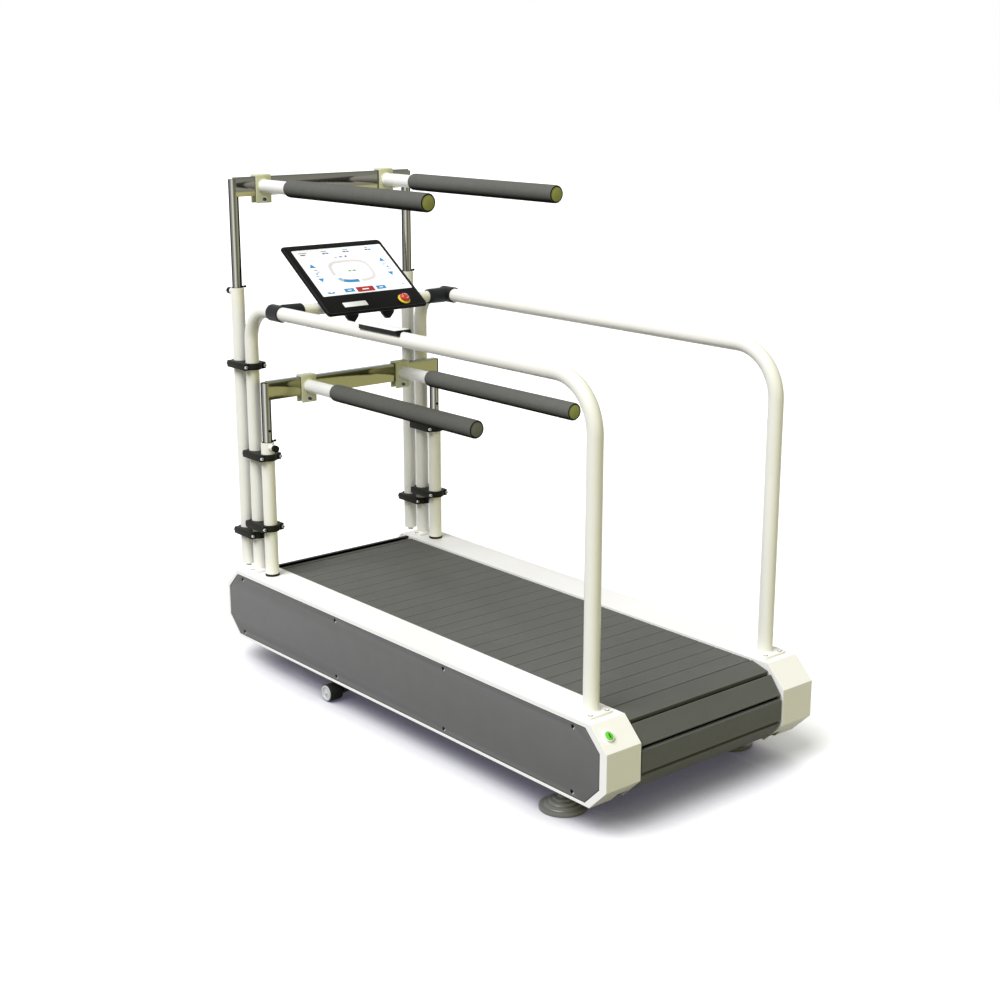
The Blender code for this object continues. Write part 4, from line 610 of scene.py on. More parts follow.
def dress_belt():
    """Ribbed slats round the two drums, on a thin web with hinge pins in the gaps."""
    total = 2 * (FRONT_DRUM_Y - REAR_DRUM_Y + pi * HINGE_RADIUS)
    count = round(total / SLAT_PITCH)
    pitch = total / count
    middle = total - pi * HINGE_RADIUS / 2
    half = (pitch - SLAT_GAP) / 2
    step = 2 * (half - RIB_MARGIN) / RIBS
    edge = [(half - 0.0018, SLAT_TOP), (half - 0.0006, SLAT_TOP - 0.0006), (half, SLAT_TOP - 0.0018),
            (half, 0.0015), (half - 0.0015, 0.0)]
    profile = [(-a, b) for a, b in edge[::-1]]
    for k in range(1, RIBS):
        profile += [(RIB_MARGIN - half + k * step + a, SLAT_TOP - b) for a, b in RIB_GROOVE]
    profile += edge
    end = [(a * 0.985, SLAT_TOP / 2 + (b - SLAT_TOP / 2) * 0.94) for a, b in profile]
    full = BELT_HALF - 0.0008
    slats = []
    web = []
    for i in range(count):
        centre = middle + i * pitch
        back, front = belt_point(centre - HINGE_SPAN), belt_point(centre + HINGE_SPAN)
        tangent = (front - back).normalized()
        outward = Vector((-tangent.y, tangent.x))
        seat = (front + back) / 2
        loops = [[(x, *(seat + tangent * a + outward * b)) for a, b in outline]
                 for x, outline in ((-BELT_HALF, end), (-full, profile), (full, profile), (BELT_HALF, end))]
        slats.append((skin(loops), SLAT))
        web += [(seat + tangent * offset, outward) for offset in (-half, half)]
    piece("belt_slats", "base", slats, "slat_belt", smooth=24.0)
    # The web is near-black: painted shade in the gaps between slats.
    high = 0.0004
    low = high - WEB_THICKNESS
    loops = [[(x, *(p + outward * height)) for p, outward in web]
             for x, height in ((-WEB_HALF, high), (-WEB_HALF, low), (WEB_HALF, low), (WEB_HALF, high))]
    piece("belt_web", "base", [(skin(loops, closed=True), WEB_GAP_SHADE)])
    # Hinge pins in the same near-black, painted shade in the gaps.
    pins = []
    for i in range(0, len(web), 2):
        gap = (web[i - 1][0] + web[i][0]) / 2
        pins += [(rod(0.0032, -0.024, 0.024, 10), WEB_GAP_SHADE, at(x, *gap) @ facing(1, 0, 0)) for x in HINGE_PLACES]
    piece("belt_hinges", "base", pins)


# Rails and posts

def dress_handrail(label, side):
    x = side * POST_X
    low = DECK_TOP + GAP
    foot = low + 0.001
    front = arc((LEG_Y - FRONT_BEND, RAIL_Z - FRONT_BEND), FRONT_BEND, 0, 90, 16)
    rear = arc((REAR_LEG_Y + REAR_BEND, RAIL_Z - REAR_BEND), REAR_BEND, 90, 180, 20)
    route = [(x, y, z) for y, z in [(LEG_Y, foot), *front, *rear, (REAR_LEG_Y, foot)]]
    parts = [(sweep(route, TUBE_R, 40), TUBE_PAINT)]
    for y, width, length, screw_x, screw_y in ((REAR_LEG_Y, 0.075, 0.075, 0.027, -0.027),
                                               (LEG_Y, 0.064, 0.05, 0.0265, 0.0)):
        flange = plate(rounded(width, length, 0.003, (x, y), 3), low, low + FLANGE, 0.0008)
        bead = turned(TUBE_R, low, (
            (-0.001, 0.0055), (0.0032, 0.0055), (0.0026, 0.0075), (0.0008, 0.0092), (-0.001, 0.0098)))
        parts += [(flange, WHITE), (bead, TUBE_PAINT, at(x, y, 0))]
        heads = [(x + dx, y + screw_y, low + FLANGE) for dx in (-screw_x, screw_x)]
        # Dark discs round the flange screw heads: painted shadow.
        parts += [(rod(0.0056, -0.0005, 0.0005, 32), PAINTED_SHADOW, at(*head)) for head in heads]
        parts += screws(heads, (0, 0, 1), 0.0042, 0.0034, TUBE_PAINT)
    piece(f"{label}_rail", "base", parts, f"{label}_handrail")


def dress_sleeves(label, side):
    """The fixed outer and inner sleeves of one side, each with its plunger."""
    x = side * POST_X
    low = DECK_TOP + GAP
    for tag, y, top, way in (("outer", OUTER_Y, OUTER_TOP, 1), ("inner", INNER_Y, INNER_TOP, -1)):
        place = at(x, y, 0)
        bottom = DECK_TOP + OUTER_LIFT if tag == "outer" else low + FLANGE
        tube = lathe([(ROD_R + 0.0005, top - 0.0006), (ROD_R + 0.0012, top), (TUBE_R - 0.0014, top),
                      (TUBE_R - 0.0002, top - 0.0004), (TUBE_R, top - 0.0016), (TUBE_R, bottom + 0.0012),
                      (TUBE_R - 0.001, bottom), (ROD_R + 0.0005, bottom)])
        seal = turned(ROD_R, top, (
            (0.0003, -0.004), (0.0003, 0.0004), (0.0022, 0.0007), (0.003, 0.0001), (0.003, -0.004)))
        parts = [(tube, TUBE_PAINT, place), (seal, BLACK, place)]
        if tag == "outer":
            parts += [(rod(0.005, low, bottom + 0.004, 24), STEEL, place),
                      (rod(TUBE_R - 0.002, bottom - 0.0004, bottom + 0.003, 48), STEEL, place),
                      (hex_nut(0.0098, 0.0046), STEEL, at(x, y, low))]
        else:
            ring = lathe([(ROD_R, low), (TUBE_R + 0.001, low), (TUBE_R + 0.0012, low + 0.005),
                          (TUBE_R + 0.0004, low + 0.0062), (ROD_R, low + 0.0062)])
            parts.append((ring, RUBBER, place))
        boss_z = top - PIN_DROP
        boss = turned(0, TUBE_R, ((0.004, -0.002), (0.0098, -0.0025), (0.0092, 0.0012),
                                  (0.009, BOSS_LENGTH - 0.001), (0.0083, BOSS_LENGTH - 0.0002),
                                  (0.0044, BOSS_LENGTH), (0.004, BOSS_LENGTH - 0.0004)), 32)
        lug = lathe([(0, 0.0165), (0.0024, 0.0165), (0.0024, 0.0238), (0.0035, 0.0242), (0.0035, 0.0284),
                     (0.0029, 0.029), (0, 0.029)], 20)
        parts += [(boss, TUBE_PAINT, at(x, y, boss_z) @ facing(0, way, 0)),
                  (lug, TEE, at(x, y, top + 0.0015) @ facing(1, 0, 0))]
        piece(f"{label}_{tag}_post", "base", parts, f"{label}_{tag}_sleeve")
        dress_plunger(label, tag, at(x, y, boss_z) @ facing(0, way, 0))


def dress_plunger(label, tag, turn):
    """Knurled pull knob on its pin."""
    seat = TUBE_R + BOSS_LENGTH + GAP
    end = seat + KNOB_LENGTH
    pin_end = end - 0.004
    pin = lathe([(0, ROD_R + 0.0004), (0.003, ROD_R + 0.0004), (0.0036, ROD_R + 0.0014), (0.0036, pin_end),
                 (0, pin_end)], 24)
    flutes, flute_depth = 24, 0.035
    rows = []
    for height, radius in ((seat, 0.0082), (seat + 0.0012, 0.0096), (seat + 0.003, 0.01),
                           (end - 0.003, 0.01), (end - 0.001, 0.0095), (end - 0.0003, 0.0078)):
        reaches = [radius * (1 - flute_depth * (k % 2)) for k in range(2 * flutes)]
        rows.append(
            [(r * cos(pi * k / flutes), r * sin(pi * k / flutes), height) for k, r in enumerate(reaches)])
    cap = turned(0, end, ((0, -0.0001), (0.0068, -0.0001), (0.007, -0.0006), (0, -0.0006)), 32)
    body = f"{label}_{tag}_plunger"
    parts = [(skin(rows), BLACK, turn), (pin, STEEL, turn), (cap, CLAMP, turn)]
    piece(f"{label}_{tag}_knob", body, parts, body, smooth=50.0)


def dress_clamp(label, side, pair, level, height):
    """A split clamp round two posts, with ears and four screws."""
    front_y = OUTER_Y if pair == "outer" else LEG_Y
    rear_y = front_y - POST_PITCH
    x = side * POST_X
    corner_x, corner_y = CLAMP_HALF_WIDTH - CLAMP_CORNER, CLAMP_EAR - CLAMP_CORNER
    meet = degrees(asin(CLAMP_EAR / CLAMP_RING))
    end = arc((corner_x, corner_y), CLAMP_CORNER, 0, 90, 4)
    end += arc((0, 0), CLAMP_RING, meet, 180 - meet, 24)
    end += arc((-corner_x, corner_y), CLAMP_CORNER, 90, 180, 4)
    outline = [(x + a, front_y + b) for a, b in end] + [(x - a, rear_y - b) for a, b in end]
    holes = [arc((x, y), TUBE_R + 0.0004, 360, 7.5, 47) for y in (front_y, rear_y)]
    body = plate(outline, height - CLAMP_HALF_HEIGHT, height + CLAMP_HALF_HEIGHT, 0.0014, holes=holes)
    parts = [(body, CLAMP)]
    for dx in (-0.032, 0.032):
        for y, way in ((rear_y, -1), (front_y, 1)):
            parts += screws([(x + dx, y + way * CLAMP_EAR, height)], (0, way, 0), 0.0052, 0.0044)
    piece(f"{label}_{pair}_{level}_collar", "base", parts, f"{label}_{pair}_{level}_clamp")


# Arm frames

def dress_frame(name, y, bar_z, length, sleeve_top, way, finish):
    """Two posts with index holes and dark caps, and the flat bar between them."""
    top = bar_z + BAR_H / 2
    bottom = top - length
    hole_r = 0.0041
    parts = []
    holes = []
    hole_shade = []
    for _, side in SIDES:
        place = at(side * POST_X, y, 0)
        post = lathe([(ROD_R - 0.0025, bottom + 0.0005), (ROD_R - 0.001, bottom), (ROD_R, bottom + 0.001),
                      (ROD_R, top - 0.005), (0, top - 0.005), (0, top - 0.009),
                      (ROD_R - 0.0025, top - 0.009)], 64)
        cap = lathe([(0, top - 0.005), (ROD_R - 0.0002, top - 0.005), (ROD_R - 0.0002, top - 0.002),
                     (ROD_R - 0.0012, top - 0.0011), (0, top - 0.001)], 64)
        parts += [(post, CHROME_PAINTED_REFLECTIONS, place), (cap, POST_CAP, place)]
        for step in range(4):
            z = sleeve_top - PIN_DROP + INDEX_PITCH * (1 - step)
            turn = at(side * POST_X, y, z) @ facing(0, way, 0)
            hole = rod(hole_r, ROD_R - 0.003, ROD_R + 0.004, 20)
            hole.transform(turn)
            holes.append(hole)
            # Dark discs at the foot of the index holes: painted shade.
            hole_shade.append((rod(hole_r, ROD_R - 0.0031, ROD_R - 0.0026, 20), PAINTED_SHADOW, turn))
    subtract(piece(f"{name}_posts", name, parts, name), holes)
    reach = POST_X + 0.0005
    middle, half = y - BAR_FORWARD, BAR_D / 2 - 0.0002
    bar = block((-reach, middle - half, bar_z - BAR_H / 2), (reach, middle + half, top + 0.0001), 0.0014, 3)
    piece(f"{name}_bar", name, [(bar, finish)] + hole_shade)


def dress_arm(name, x, y, bar_z):
    """A saddle over the bar, bolted below it, with a tube, a foam grip and its end cap."""
    bar_top, bar_bottom = bar_z + BAR_H / 2, bar_z - BAR_H / 2
    inside = BAR_D / 2 + GAP
    outside = inside + SADDLE_WALL
    under, roof = bar_bottom - SADDLE_DROP, bar_top + GAP
    over = roof + SADDLE_WALL
    middle = y - BAR_FORWARD
    bend = 0.005
    outline = [(-outside, under), (-inside, under), (-inside, roof)]
    outline += [(inside, roof), (inside, under), (outside, under)]
    outline += arc((outside - bend, over - bend), bend, 0, 90, 5)
    outline += arc((bend - outside, over - bend), bend, 90, 180, 5)
    outline = [(middle + a, b) for a, b in outline]
    saddle = plate(outline, x - SADDLE_HALF, x + SADDLE_HALF, 0.0008, YZ_PLANE)
    seam = BAR_FORWARD + outside
    tube_start, tube_end = seam - 0.0015, ARM_REACH - 0.0046
    turn = at(x, y, bar_z) @ facing(0, -1, 0)
    tube = lathe([(0, tube_start), (ARM_TUBE_R, tube_start), (ARM_TUBE_R, tube_end - 0.001),
                  (ARM_TUBE_R - 0.0015, tube_end), (0, tube_end)], 56)
    bead = turned(ARM_TUBE_R, seam, (
        (-0.0008, -0.001), (0.0032, -0.001), (0.0026, 0.0012), (0.0008, 0.003), (-0.0008, 0.0034)), 56)
    bolt_z = bar_bottom - SADDLE_DROP / 2
    forward = facing(0, 1, 0)
    parts = [(saddle, PLATE), (tube, WHITE, turn), (bead, PLATE, turn),
             (rod(0.0038, -inside - 0.002, inside + 0.002, 20), STEEL, at(x, middle, bolt_z) @ forward),
             (hex_nut(0.0072, 0.0052), STEEL, at(x, middle + outside - 0.0002, bolt_z) @ forward),
             (rod(0.0078, -0.001, 0.001, 32), STEEL, at(x, middle - outside, bolt_z) @ facing(0, -1, 0))]
    parts += screws([(x, middle - outside - 0.001, bolt_z)], (0, -1, 0), 0.006, 0.0045, DARK_STEEL)
    piece(f"{name}_bracket", name, parts, name)

    grip = name.replace("_arm", "_grip")
    start, end = ARM_REACH - GRIP_LENGTH, ARM_REACH
    bore = 0.0193
    crown = ((0.0055, 0.0012), (0.0022, 0.0045), (0.0006, 0.0095), (0, 0.017))
    tail = ((0, 0.006), (0.0004, 0.0032), (0.0016, 0.0014), (0.0032, 0.001))
    belly_start, belly_length, waist = start + 0.017, GRIP_LENGTH - 0.023, 0.0003
    profile = [(bore, start + 0.002), (bore, start)] + [(GRIP_R - a, start + b) for a, b in crown]
    profile += [(GRIP_R - waist * (1 - abs(2 * k / 12 - 1)), belly_start + belly_length * k / 12)
                for k in range(1, 12)]
    profile += [(GRIP_R - a, end - b) for a, b in tail]
    profile += [(bore, end - 0.001), (bore, end - 0.003)]
    sleeve = piece(f"{grip}_foam", name, [(lathe(profile, 64), FOAM, turn)], grip, smooth=60.0)
    cap = turned(0, end, ((0, -0.004), (0.0196, -0.004), (0.0196, -0.0008), (0.0188, -0.0003), (0, 0)), 56)
    rim = turned(0, end, ((0.0198, -0.004), (0.0226, -0.004), (0.023, -0.001), (0.0222, 0.0002),
                          (0.0206, 0.0002), (0.0198, -0.0006)), 56)
    # Painted reflection tone of the end cap: grey on the lower left grip, olive on the others.
    disc = CAP_GREY_REFLECTION if name == "lower_left_arm" else CAP_OLIVE_REFLECTION
    piece(f"{grip}_cap", name, [(cap, disc, turn), (rim, BLACK, turn)])


# Console

CONSOLE = at(0, CROSS_Y + CONSOLE_FORWARD, RAIL_Z + CONSOLE_RISE) @ Matrix.Rotation(CONSOLE_TILT, 4, "X")
CASE_LEVELS = (
    (0.0052, 0.0), (0.0032, -0.0004), (0.0014, -0.0015), (0.0003, -0.0033), (0.0, -0.0054), (0.0, -0.008),
    (0.0012, -0.0096), (0.003, -0.0104), (0.028, -0.0135), (0.03, -0.015), (0.03, -0.031), (0.0325, -0.0338))
HIGHLIGHT_RIM_LEVELS = ((0.0046, -0.001), (0.0046, 0.00012), (0.0036, 0.00002), (0.0036, -0.0012))
LABEL_AT = (-0.0685, -0.1185)


def case_level(inset, depth):
    """The case's outline drawn in by an inset, at a depth."""
    loop = rounded(CONSOLE_W - 2 * inset, CONSOLE_D - 2 * inset, max(0.004, 0.012 - inset * 0.3))
    return [(a, b, depth) for a, b in loop]


def screen_level(grow, depth):
    """The screen's outline widened a little, at a depth."""
    loop = rounded(SCREEN_W + 2 * grow, SCREEN_D + 2 * grow, 0.0025 + grow, SCREEN_AT)
    return [(a, b, depth) for a, b in loop]


def console_mount(x):
    """Parts of a mount: a body under the sloping case, and a narrow tab below its rear."""
    foot = RAIL_Z - CROSS_R - MOUNT_DROP
    shoulder = foot + MOUNT_TAPER
    slope = tan(CONSOLE_TILT)
    under = RAIL_Z + CONSOLE_RISE - CONSOLE_FORWARD * slope - 0.0122
    reach, wide, narrow = 0.025, 0.021, 0.008
    outline = [(CROSS_Y - reach, shoulder), (CROSS_Y + reach, shoulder),
               (CROSS_Y + reach, under + reach * slope), (CROSS_Y - reach, under - reach * slope)]
    body = plate(outline, x - wide, x + wide, 0.0012, YZ_PLANE)
    edge = [(narrow - 0.0015, foot), (narrow, foot + 0.0015), (narrow + 0.0055, foot + 0.008),
            (narrow + 0.011, foot + 0.0145), (wide - 0.0004, shoulder), (wide - 0.0004, shoulder + 0.004)]
    outline = [(x + a, z) for a, z in edge] + [(x - a, z) for a, z in edge[::-1]]
    tab = plate(outline, 0.011 - CROSS_Y, 0.0246 - CROSS_Y, 0.0008, XZ_PLANE)
    return [(body, BLACK), (tab, BLACK)]


def dress_console():
    """The tilting console: case, mounts, screen, blank label and emergency stop."""
    loops = [screen_level(0.0004, -0.0018), screen_level(0.0004, -0.001), screen_level(0.0016, 0.0)]
    loops += [case_level(*level) for level in CASE_LEVELS]
    # The case gets a lighter rim ring, a painted highlight on its edge.
    parts = [(skin(loops), BLACK, CONSOLE),
             (skin([case_level(*level) for level in HIGHLIGHT_RIM_LEVELS], closed=True), RIM_HIGHLIGHT, CONSOLE)]
    for _, side in SIDES:
        parts += console_mount(side * MOUNT_SPACING / 2)
    # Vent slits are flat dark strips of painted shade.
    for k in range(11):
        slit = rounded(0.0032, 0.06, 0.0015, (-0.06 + 0.012 * k, 0.055))
        parts.append((plate(slit, -0.0345, -0.0332), PAINTED_SHADOW, CONSOLE))
    for a, b in [(sx * 0.135, sy * 0.105) for sx in (-1, 1) for sy in (-1, 1)]:
        parts.append((screw_head(0.0035, 0.0016), DARK_STEEL, CONSOLE @ at(a, b, -0.0338) @ facing(0, 0, -1)))
    piece("console_case", "console", parts, "console_body", smooth=28.0)

    glass = plate(rounded(SCREEN_W - 0.0004, SCREEN_D - 0.0004, 0.0025, SCREEN_AT), -0.0018, -0.0009)
    piece("display", "console", [(glass, SCREEN, CONSOLE)], "touch_screen")
    dress_display()

    label = plate(rounded(0.083, 0.0195, 0.0015, LABEL_AT), -0.0004, 0.0008, 0.0003)
    edge = plate(rounded(0.085, 0.0215, 0.002, LABEL_AT), -0.0004, 0.0003, 0.0001)
    piece("console_label", "console", [(label, LABEL_WHITE_AND_HIGHLIGHT, CONSOLE), (edge, CLAMP, CONSOLE)])

    stop = CONSOLE @ at(*STOP_AT)
    disc = lathe([(0, -0.0005), (0.0195, -0.0005), (0.0195, 0.0012), (0.019, 0.0018), (0.015, 0.002),
                  (0.0142, 0.003), (0.0098, 0.0032), (0.0092, 0.0012), (0, 0.0012)], 64)
    piece("stop_disc", "console", [(disc, YELLOW, stop)])
    head = lathe(
        [(0, 0.0146), (0.005, 0.0144), (0.0095, 0.0136), (0.013, 0.0118), (0.0146, 0.0094), (0.015, 0.007),
        (0.0147, 0.0052), (0.0138, 0.0044), (0.0085, 0.0043), (0.008, 0.004), (0.008, -0.0038), (0, -0.0038)],
        64)
    parts = [(head, RED, stop)]
    # Three white arcs on the red head are painted highlights.
    for k in range(3):
        curve = arc((0, 0), 0.0098, 20, 80, 8) + arc((0, 0), 0.0086, 80, 20, 8)
        turn = Matrix.Rotation(radians(120 * k), 4, "Z")
        parts.append((plate(curve, 0.0128, 0.01385, 0.0001), LABEL_WHITE_AND_HIGHLIGHT, stop @ turn))
    piece("stop_button", "emergency_stop", parts, "emergency_stop")


def prints(name, material, outlines, lift=-0.0009):
    """Flat prints on the screen, as one piece."""
    parts = [(plate(outline, -0.0002, 0.00012), material, CONSOLE @ at(z=lift)) for outline in outlines]
    piece(name, "console", parts)


def mark(x, y, width, height=0.0026):
    """A small blank bar."""
    return rounded(width, height, min(width, height) * 0.3, (x, y), 2)


def key(x, y, width, height):
    return rounded(width, height, 0.0006, (x, y), 2)


def arrow(x, y, way):
    return [(x - 0.0105, y - way * 0.0077), (x + 0.0105, y - way * 0.0077), (x, y + way * 0.0091)]


def oval(angle, grow):
    """Point at an angle on the running track's outline."""
    c, s = cos(radians(angle)), sin(radians(angle))
    return (0.004 + copysign(abs(c) ** 0.62, c) * (0.0695 + grow),
            0.023 + copysign(abs(s) ** 0.62, s) * (0.044 + grow))


def track(start, end, wide, steps):
    """A stretch of the track between two angles."""
    angles = [start + (end - start) * k / steps for k in range(steps + 1)]
    return [oval(a, wide) for a in angles] + [oval(a, -wide) for a in angles[::-1]]


def dress_display():
    """Generic controls on the lit display: arrows, a track gauge, keys and blank value bars."""
    prints("display_gauge", UI_GREY, [track(272 + 27.6 * k, 299.6 + 27.6 * k, 0.005, 8) for k in range(10)])
    prints("display_dial_start", UI_PALE, [track(208, 232, 0.006, 10)])
    fields = ((-0.0505, 0.107), (0.024, 0.108), (0.106, 0.109))
    field_size = (0.011, 0.0054)
    values = [mark(x + 0.012, y, *field_size) for x, y in fields]
    values += [mark(-0.001, 0.087, 0.012, 0.005), mark(-0.122, 0.0225, 0.007, 0.006),
               mark(0.137, 0.0265, 0.007, 0.007), mark(-0.12, -0.064, 0.024, 0.004)]
    controls = [key(-0.053, -0.0585, 0.034, 0.015), key(0.0615, -0.0585, 0.033, 0.015),
                arrow(-0.1205, 0.057, 1), arrow(-0.121, -0.0055, -1), arrow(0.1335, 0.06, 1),
                arrow(0.132, -0.004, -1), track(232, 270, 0.006, 14)]
    prints("display_blue", UI_BLUE, controls + values)
    tile = [(0.013, 0.0835), (0.0205, 0.0845), (0.0225, 0.0915), (0.015, 0.0905)]
    prints("display_red", UI_RED, [key(0.004, -0.0595, 0.062, 0.021), tile])
    bars = ((-0.122, 0.115, 0.03), (-0.0465, 0.116, 0.02), (0.031, 0.117, 0.02), (0.11, 0.1175, 0.012),
            (-0.019, 0.0865, 0.01), (-0.118, 0.0375, 0.013), (-0.112, 0.03, 0.01), (-0.124, 0.013, 0.012),
            (0.136, 0.042, 0.015), (0.128, 0.0345, 0.006), (0.14, 0.018, 0.012), (-0.127, -0.06, 0.014),
            (-0.11, -0.06, 0.01), (-0.125, 0.1065, 0.018, 0.005), (0.146, -0.054, 0.006, 0.003))
    prints("display_marks", UI_DARK, [mark(x, y, *field_size) for x, y in fields]
           + [mark(*bar) for bar in bars])
    key_bars = ((-0.053, -0.0585, 0.014, 0.0034), (0.0615, -0.0585, 0.013, 0.0034),
                (0.004, -0.0595, 0.024, 0.0044))
    prints("display_key_marks", SCREEN, [mark(*bar) for bar in key_bars], lift=-0.00075)
    track_bars = ((-0.005, 0.0235, 0.01, 0.0055), (0.004, 0.0222, 0.0035, 0.003),
                  (0.0125, 0.0235, 0.01, 0.0055))
    prints("display_green", UI_GREEN, [mark(*bar) for bar in track_bars])


def dress_cross_tube():
    reach = POST_X - TUBE_R - 0.0045
    tube = rod(CROSS_R, -reach, reach, 56)
    piece("console_tube", "base", [(tube, TUBE_PAINT, at(0, CROSS_Y, RAIL_Z) @ facing(1, 0, 0))],
          "console_cross_tube")
    for label, side in SIDES:
        place = at(side * POST_X, CROSS_Y, RAIL_Z)
        rear, front = -0.031, 0.0245
        wrap = turned(TUBE_R, 0, (
            (0.0003, rear), (0.0028, rear), (0.004, rear + 0.0012), (0.004, front - 0.0012), (0.0028, front),
            (0.0003, front)), 56)
        socket = lathe([(CROSS_R + 0.0004, 0.02), (TUBE_R + 0.003, 0.02), (TUBE_R + 0.0024, 0.06),
                        (TUBE_R + 0.0019, 0.081), (TUBE_R + 0.0006, 0.083), (CROSS_R + 0.0004, 0.083)], 56)
        parts = [(wrap, TEE, place @ facing(0, 1, 0)), (socket, TEE, place @ facing(-side, 0, 0))]
        piece(f"{label}_tee", "base", parts, f"{label}_tube_connector")


def dress_tray():
    """Slim tray astride the left handrail, with flared ends."""
    x = -POST_X
    front = LEG_Y - TRAY_SETBACK
    rear = front - TRAY_LENGTH
    middle = (front + rear) / 2
    top, foot = RAIL_Z + TRAY_RISE, RAIL_Z + TRAY_FOOT_RISE
    top_half, foot_half = 0.026, 0.02225
    reach = TUBE_R + 0.0004
    spread = degrees(asin(TRAY_FOOT_RISE / reach))
    outline = [(x - foot_half, foot), (x - top_half, top), (x + top_half, top), (x + foot_half, foot)]
    outline += arc((x, RAIL_Z), reach, spread, 180 - spread, 28)
    tray = plate(outline, -front, -rear, 0.0006, XZ_PLANE)
    for vertex in tray.verts:
        flare = TRAY_FRONT_FLARE if vertex.co.y > middle else -TRAY_REAR_FLARE
        vertex.co.y += flare * max(0.0, min(1.0, (top - vertex.co.z) / (top - foot)))
    cover = plate(rounded(0.048, 0.154, 0.003, (x, middle)), top - 0.0004, top + 0.0005, 0.0002)
    piece("rail_tray", "base", [(tray, TRAY), (cover, WHITE)], "handrail_tray")


# Feet, wheels, button

def dress_feet():
    tiers = ((0.061, 0.01), (0.0475, 0.018), (0.0366, 0.025), (0.0256, 0.031), (0.014, 0.0))
    profile = [(0, 0.0), (0.0602, 0.0), (0.061, 0.001)]
    for (radius, height), (inner, _) in zip(tiers, tiers[1:]):
        profile += [
            (radius, height - 0.004), (radius - 0.0008, height - 0.0014), (radius - 0.003, height - 0.0002),
            (inner + 0.002, height + 0.0004), (inner + 0.0002, height + 0.0022)]
    profile += [(0.0132, 0.036), (0.0118, 0.038), (0, 0.038)]
    thread_pitch = 0.00236
    stem = [(0, 0.036)]
    for k in range(30):
        stem += [(0.007, 0.0375 + thread_pitch * k), (0.0061, 0.0375 + thread_pitch * (k + 0.5))]
    stem += [(0.006, 0.1085), (0, 0.109)]
    for label, side in SIDES:
        place = at(side * FOOT_X, FOOT_Y, 0)
        parts = [(lathe(profile, 72), FOOT, place), (lathe(stem, 24), STEEL, place),
                 (hex_nut(0.0125, 0.007), STEEL, place @ at(z=0.0382))]
        piece(f"{label}_pad", f"{label}_foot", parts, f"{label}_leveling_foot", smooth=30.0)


def dress_wheels():
    outer, inner = SIDE_FACE - 0.0025, SIDE_FACE - 0.0485
    for label, side in SIDES:
        place = at(0, WHEEL_Y, WHEEL_R) @ Matrix.Rotation(radians(90 * side), 4, "Y")
        tyre = lathe([(0.0205, outer - 0.0035), (0.0238, outer - 0.003), (0.0249, outer - 0.0045),
                      (WHEEL_R, outer - 0.007), (WHEEL_R, inner + 0.005), (0.024, inner + 0.0015),
                      (0.0225, inner), (0.0205, inner)], 64)
        hub = lathe([(0, outer - 0.001), (0.0055, outer - 0.001), (0.006, outer - 0.0022),
                     (0.015, outer - 0.003), (0.0165, outer - 0.0012), (0.0196, outer - 0.0003),
                     (0.0222, outer - 0.001), (0.0226, outer - 0.0034), (0.0206, outer - 0.004),
                     (0.0206, inner + 0.001), (0.006, inner + 0.001), (0.0056, inner + 0.004),
                     (0.0056, outer - 0.0115), (0, outer - 0.0115)], 64)
        cap = turned(0, outer, ((0, 0.0004), (0.003, 0.0002), (0.0042, -0.0008), (0, -0.0012)), 32)
        parts = [(tyre, RUBBER, place), (hub, HUB, place), (cap, STEEL, place)]
        piece(f"{label}_tyre", f"{label}_wheel", parts, f"{label}_lift_wheel")


def dress_start_button():
    place = at(BUTTON_INSET - SIDE_FACE, REAR_END + END_CHAMFER / 2, DECK_TOP - END_CHAMFER / 2)
    place = place @ Matrix.Rotation(radians(45), 4, "X")
    bezel = lathe([(0.0112, -0.001), (0.0138, -0.001), (0.0138, 0.0044), (0.0133, 0.0057), (0.0123, 0.0062),
                   (0.0112, 0.0058)], 56)
    piece("start_bezel", "base", [(bezel, LABEL_WHITE_AND_HIGHLIGHT, place)])
    head = lathe([(0, 0.0076), (0.0082, 0.0075), (0.0098, 0.0069), (0.0105, 0.0056), (0.0105, -0.011),
                  (0, -0.011)], 56)
    stroke = plate(rounded(0.003, 0.012, 0.0014), 0.007, 0.0078, 0.0001)
    parts = [(head, GREEN, place), (stroke, BLACK, place)]
    piece("start_key", "start_button", parts, "start_button")


# Stage

def sun(name, direction, power, colour, mirrored):
    """A distant lamp that shines from a direction, with soft-edged shadows, and that gloss shows or not."""
    data = bpy.data.lights.new(name, "SUN")
    data.energy = power
    data.color = colour
    data.angle = radians(40.0)
    lamp = put(name, data)
    lamp.rotation_euler = Vector(direction).to_track_quat("Z", "Y").to_euler()
    lamp.visible_glossy = mirrored


def seen_rays(tree):
    """1 for rays that show the background: straight from the camera, mirrored or through glass."""
    rays = node(tree, "LightPath").outputs
    seen = maths(tree, "MAXIMUM", rays["Is Camera Ray"], rays["Is Glossy Ray"])
    return maths(tree, "MAXIMUM", seen, rays["Is Transmission Ray"])


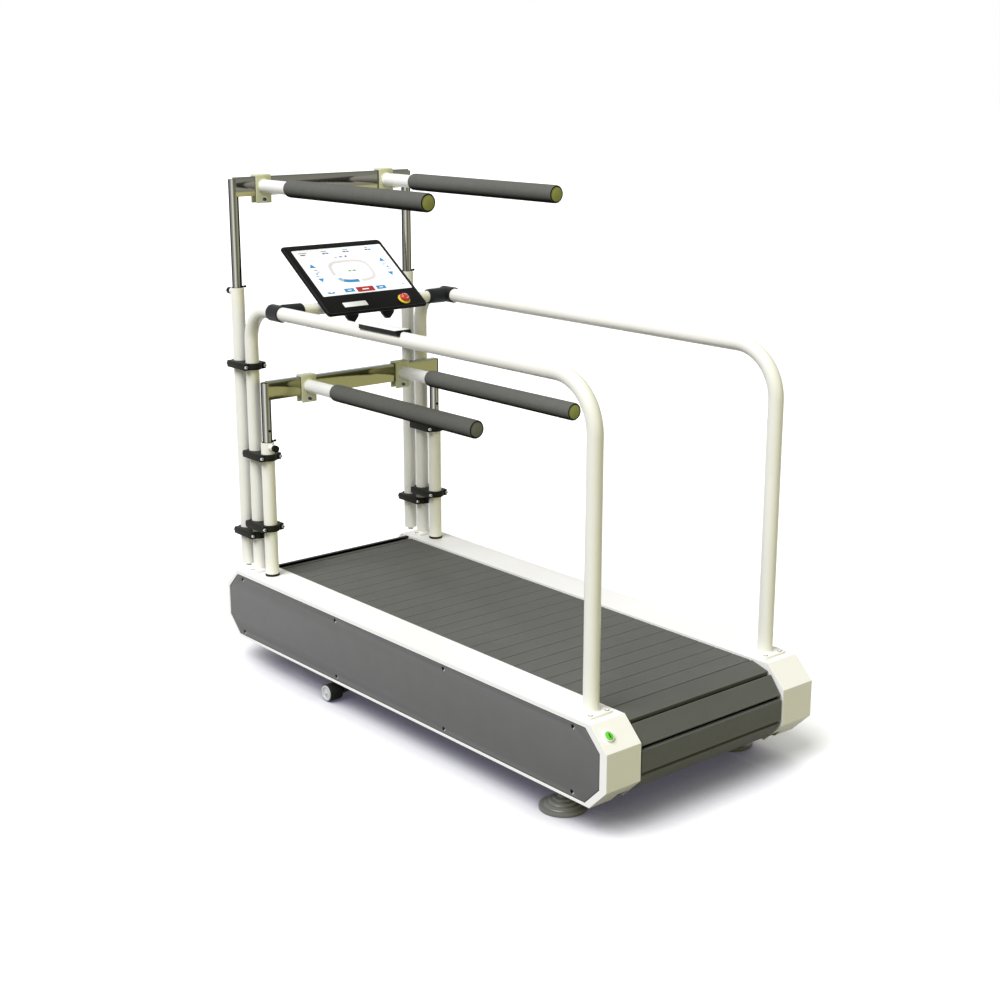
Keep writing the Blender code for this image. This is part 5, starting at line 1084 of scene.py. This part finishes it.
def floor_paint():
    """White where seen, with a painted contact shadow, darker and bluer close to the machine, and dim as a
    source of bounced light.
    """
    paint = bpy.data.materials.new("floor_paint")
    paint.use_nodes = True
    tree = paint.node_tree
    occlusion = node(tree, "AmbientOcclusion", samples=12, Distance=0.22)
    contact_shadow = node(tree, "ValToRGB", Fac=occlusion.outputs["AO"])
    dark, pale = contact_shadow.color_ramp.elements
    dark.position, pale.position = 0.2, 0.86
    dark.color = (0.125, 0.12, 0.165, 1.0)
    pale.color = (0.93, 0.93, 0.945, 1.0)
    shader = fill(tree.nodes["Principled BSDF"], Base_Color=contact_shadow.outputs["Color"], Roughness=0.9,
                  Specular_IOR_Level=0.0, Emission_Color=contact_shadow.outputs["Color"], Emission_Strength=0.42)
    dim = node(tree, "BsdfDiffuse", Color=(0.19, 0.19, 0.17, 1.0))
    choice = node(tree, "MixShader", Fac=seen_rays(tree))
    feed(choice.inputs[1], dim.outputs["BSDF"])
    feed(choice.inputs[2], shader.outputs["BSDF"])
    fill(tree.nodes["Material Output"], Surface=choice.outputs["Shader"])
    return paint


def set_stage():
    """Floor, background, lamps and camera."""
    scene = bpy.context.scene
    grid = bmesh.new()
    bmesh.ops.create_grid(grid, x_segments=1, y_segments=1, size=60.0)
    mesh = bpy.data.meshes.new("floor")
    grid.to_mesh(mesh)
    grid.free()
    mesh.materials.append(floor_paint())
    put("floor", mesh)

    world = bpy.data.worlds.new("studio")
    scene.world = world
    world.use_nodes = True
    tree = world.node_tree
    blend = node(tree, "Mix", data_type="RGBA", Factor=seen_rays(tree))
    blend.inputs[6].default_value = (0.15, 0.15, 0.12, 1.0)
    blend.inputs[7].default_value = (1.0, 1.0, 1.0, 1.0)
    fill(tree.nodes["Background"], Color=blend.outputs[2])

    sun("key_light", (-0.605, -0.09, 0.788), 3.52, (1.0, 1.0, 1.03), True)
    sun("rear_fill", (0.0, -1.0, 0.1), 0.66, (1.0, 0.97, 0.1), False)
    sun("far_fill", (0.83, 0.55, 0.0), 1.55, (1.0, 1.0, 1.0), False)

    data = bpy.data.cameras.new("camera")
    data.sensor_width = 36.0
    data.sensor_fit = "HORIZONTAL"
    data.lens = 58.19
    data.clip_end = 200.0
    camera = put("camera", data)
    camera.location = (-2.7796, BASE_Y - 3.3199, 1.7676)
    camera.rotation_euler = (radians(90.0 - 15.046), 0.0, radians(-40.127))
    scene.camera = camera
    scene.view_settings.view_transform = "Standard"


dress_base()
dress_belt()
for label, side in SIDES:
    dress_handrail(label, side)
    dress_sleeves(label, side)
    for clamp in CLAMPS:
        dress_clamp(label, side, *clamp)
dress_frame("upper_frame", OUTER_Y, UPPER_BAR_Z, UPPER_ROD, OUTER_TOP, 1, UPPER_BAR)
dress_frame("lower_frame", INNER_Y, LOWER_BAR_Z, LOWER_ROD, INNER_TOP, -1, LOWER_BAR)
for label, side in SIDES:
    dress_arm(f"upper_{label}_arm", side * UPPER_ARM_X, OUTER_Y, UPPER_BAR_Z)
    dress_arm(f"lower_{label}_arm", side * LOWER_ARM_X, INNER_Y, LOWER_BAR_Z)
dress_cross_tube()
dress_tray()
dress_console()
dress_feet()
dress_wheels()
dress_start_button()
set_stage()
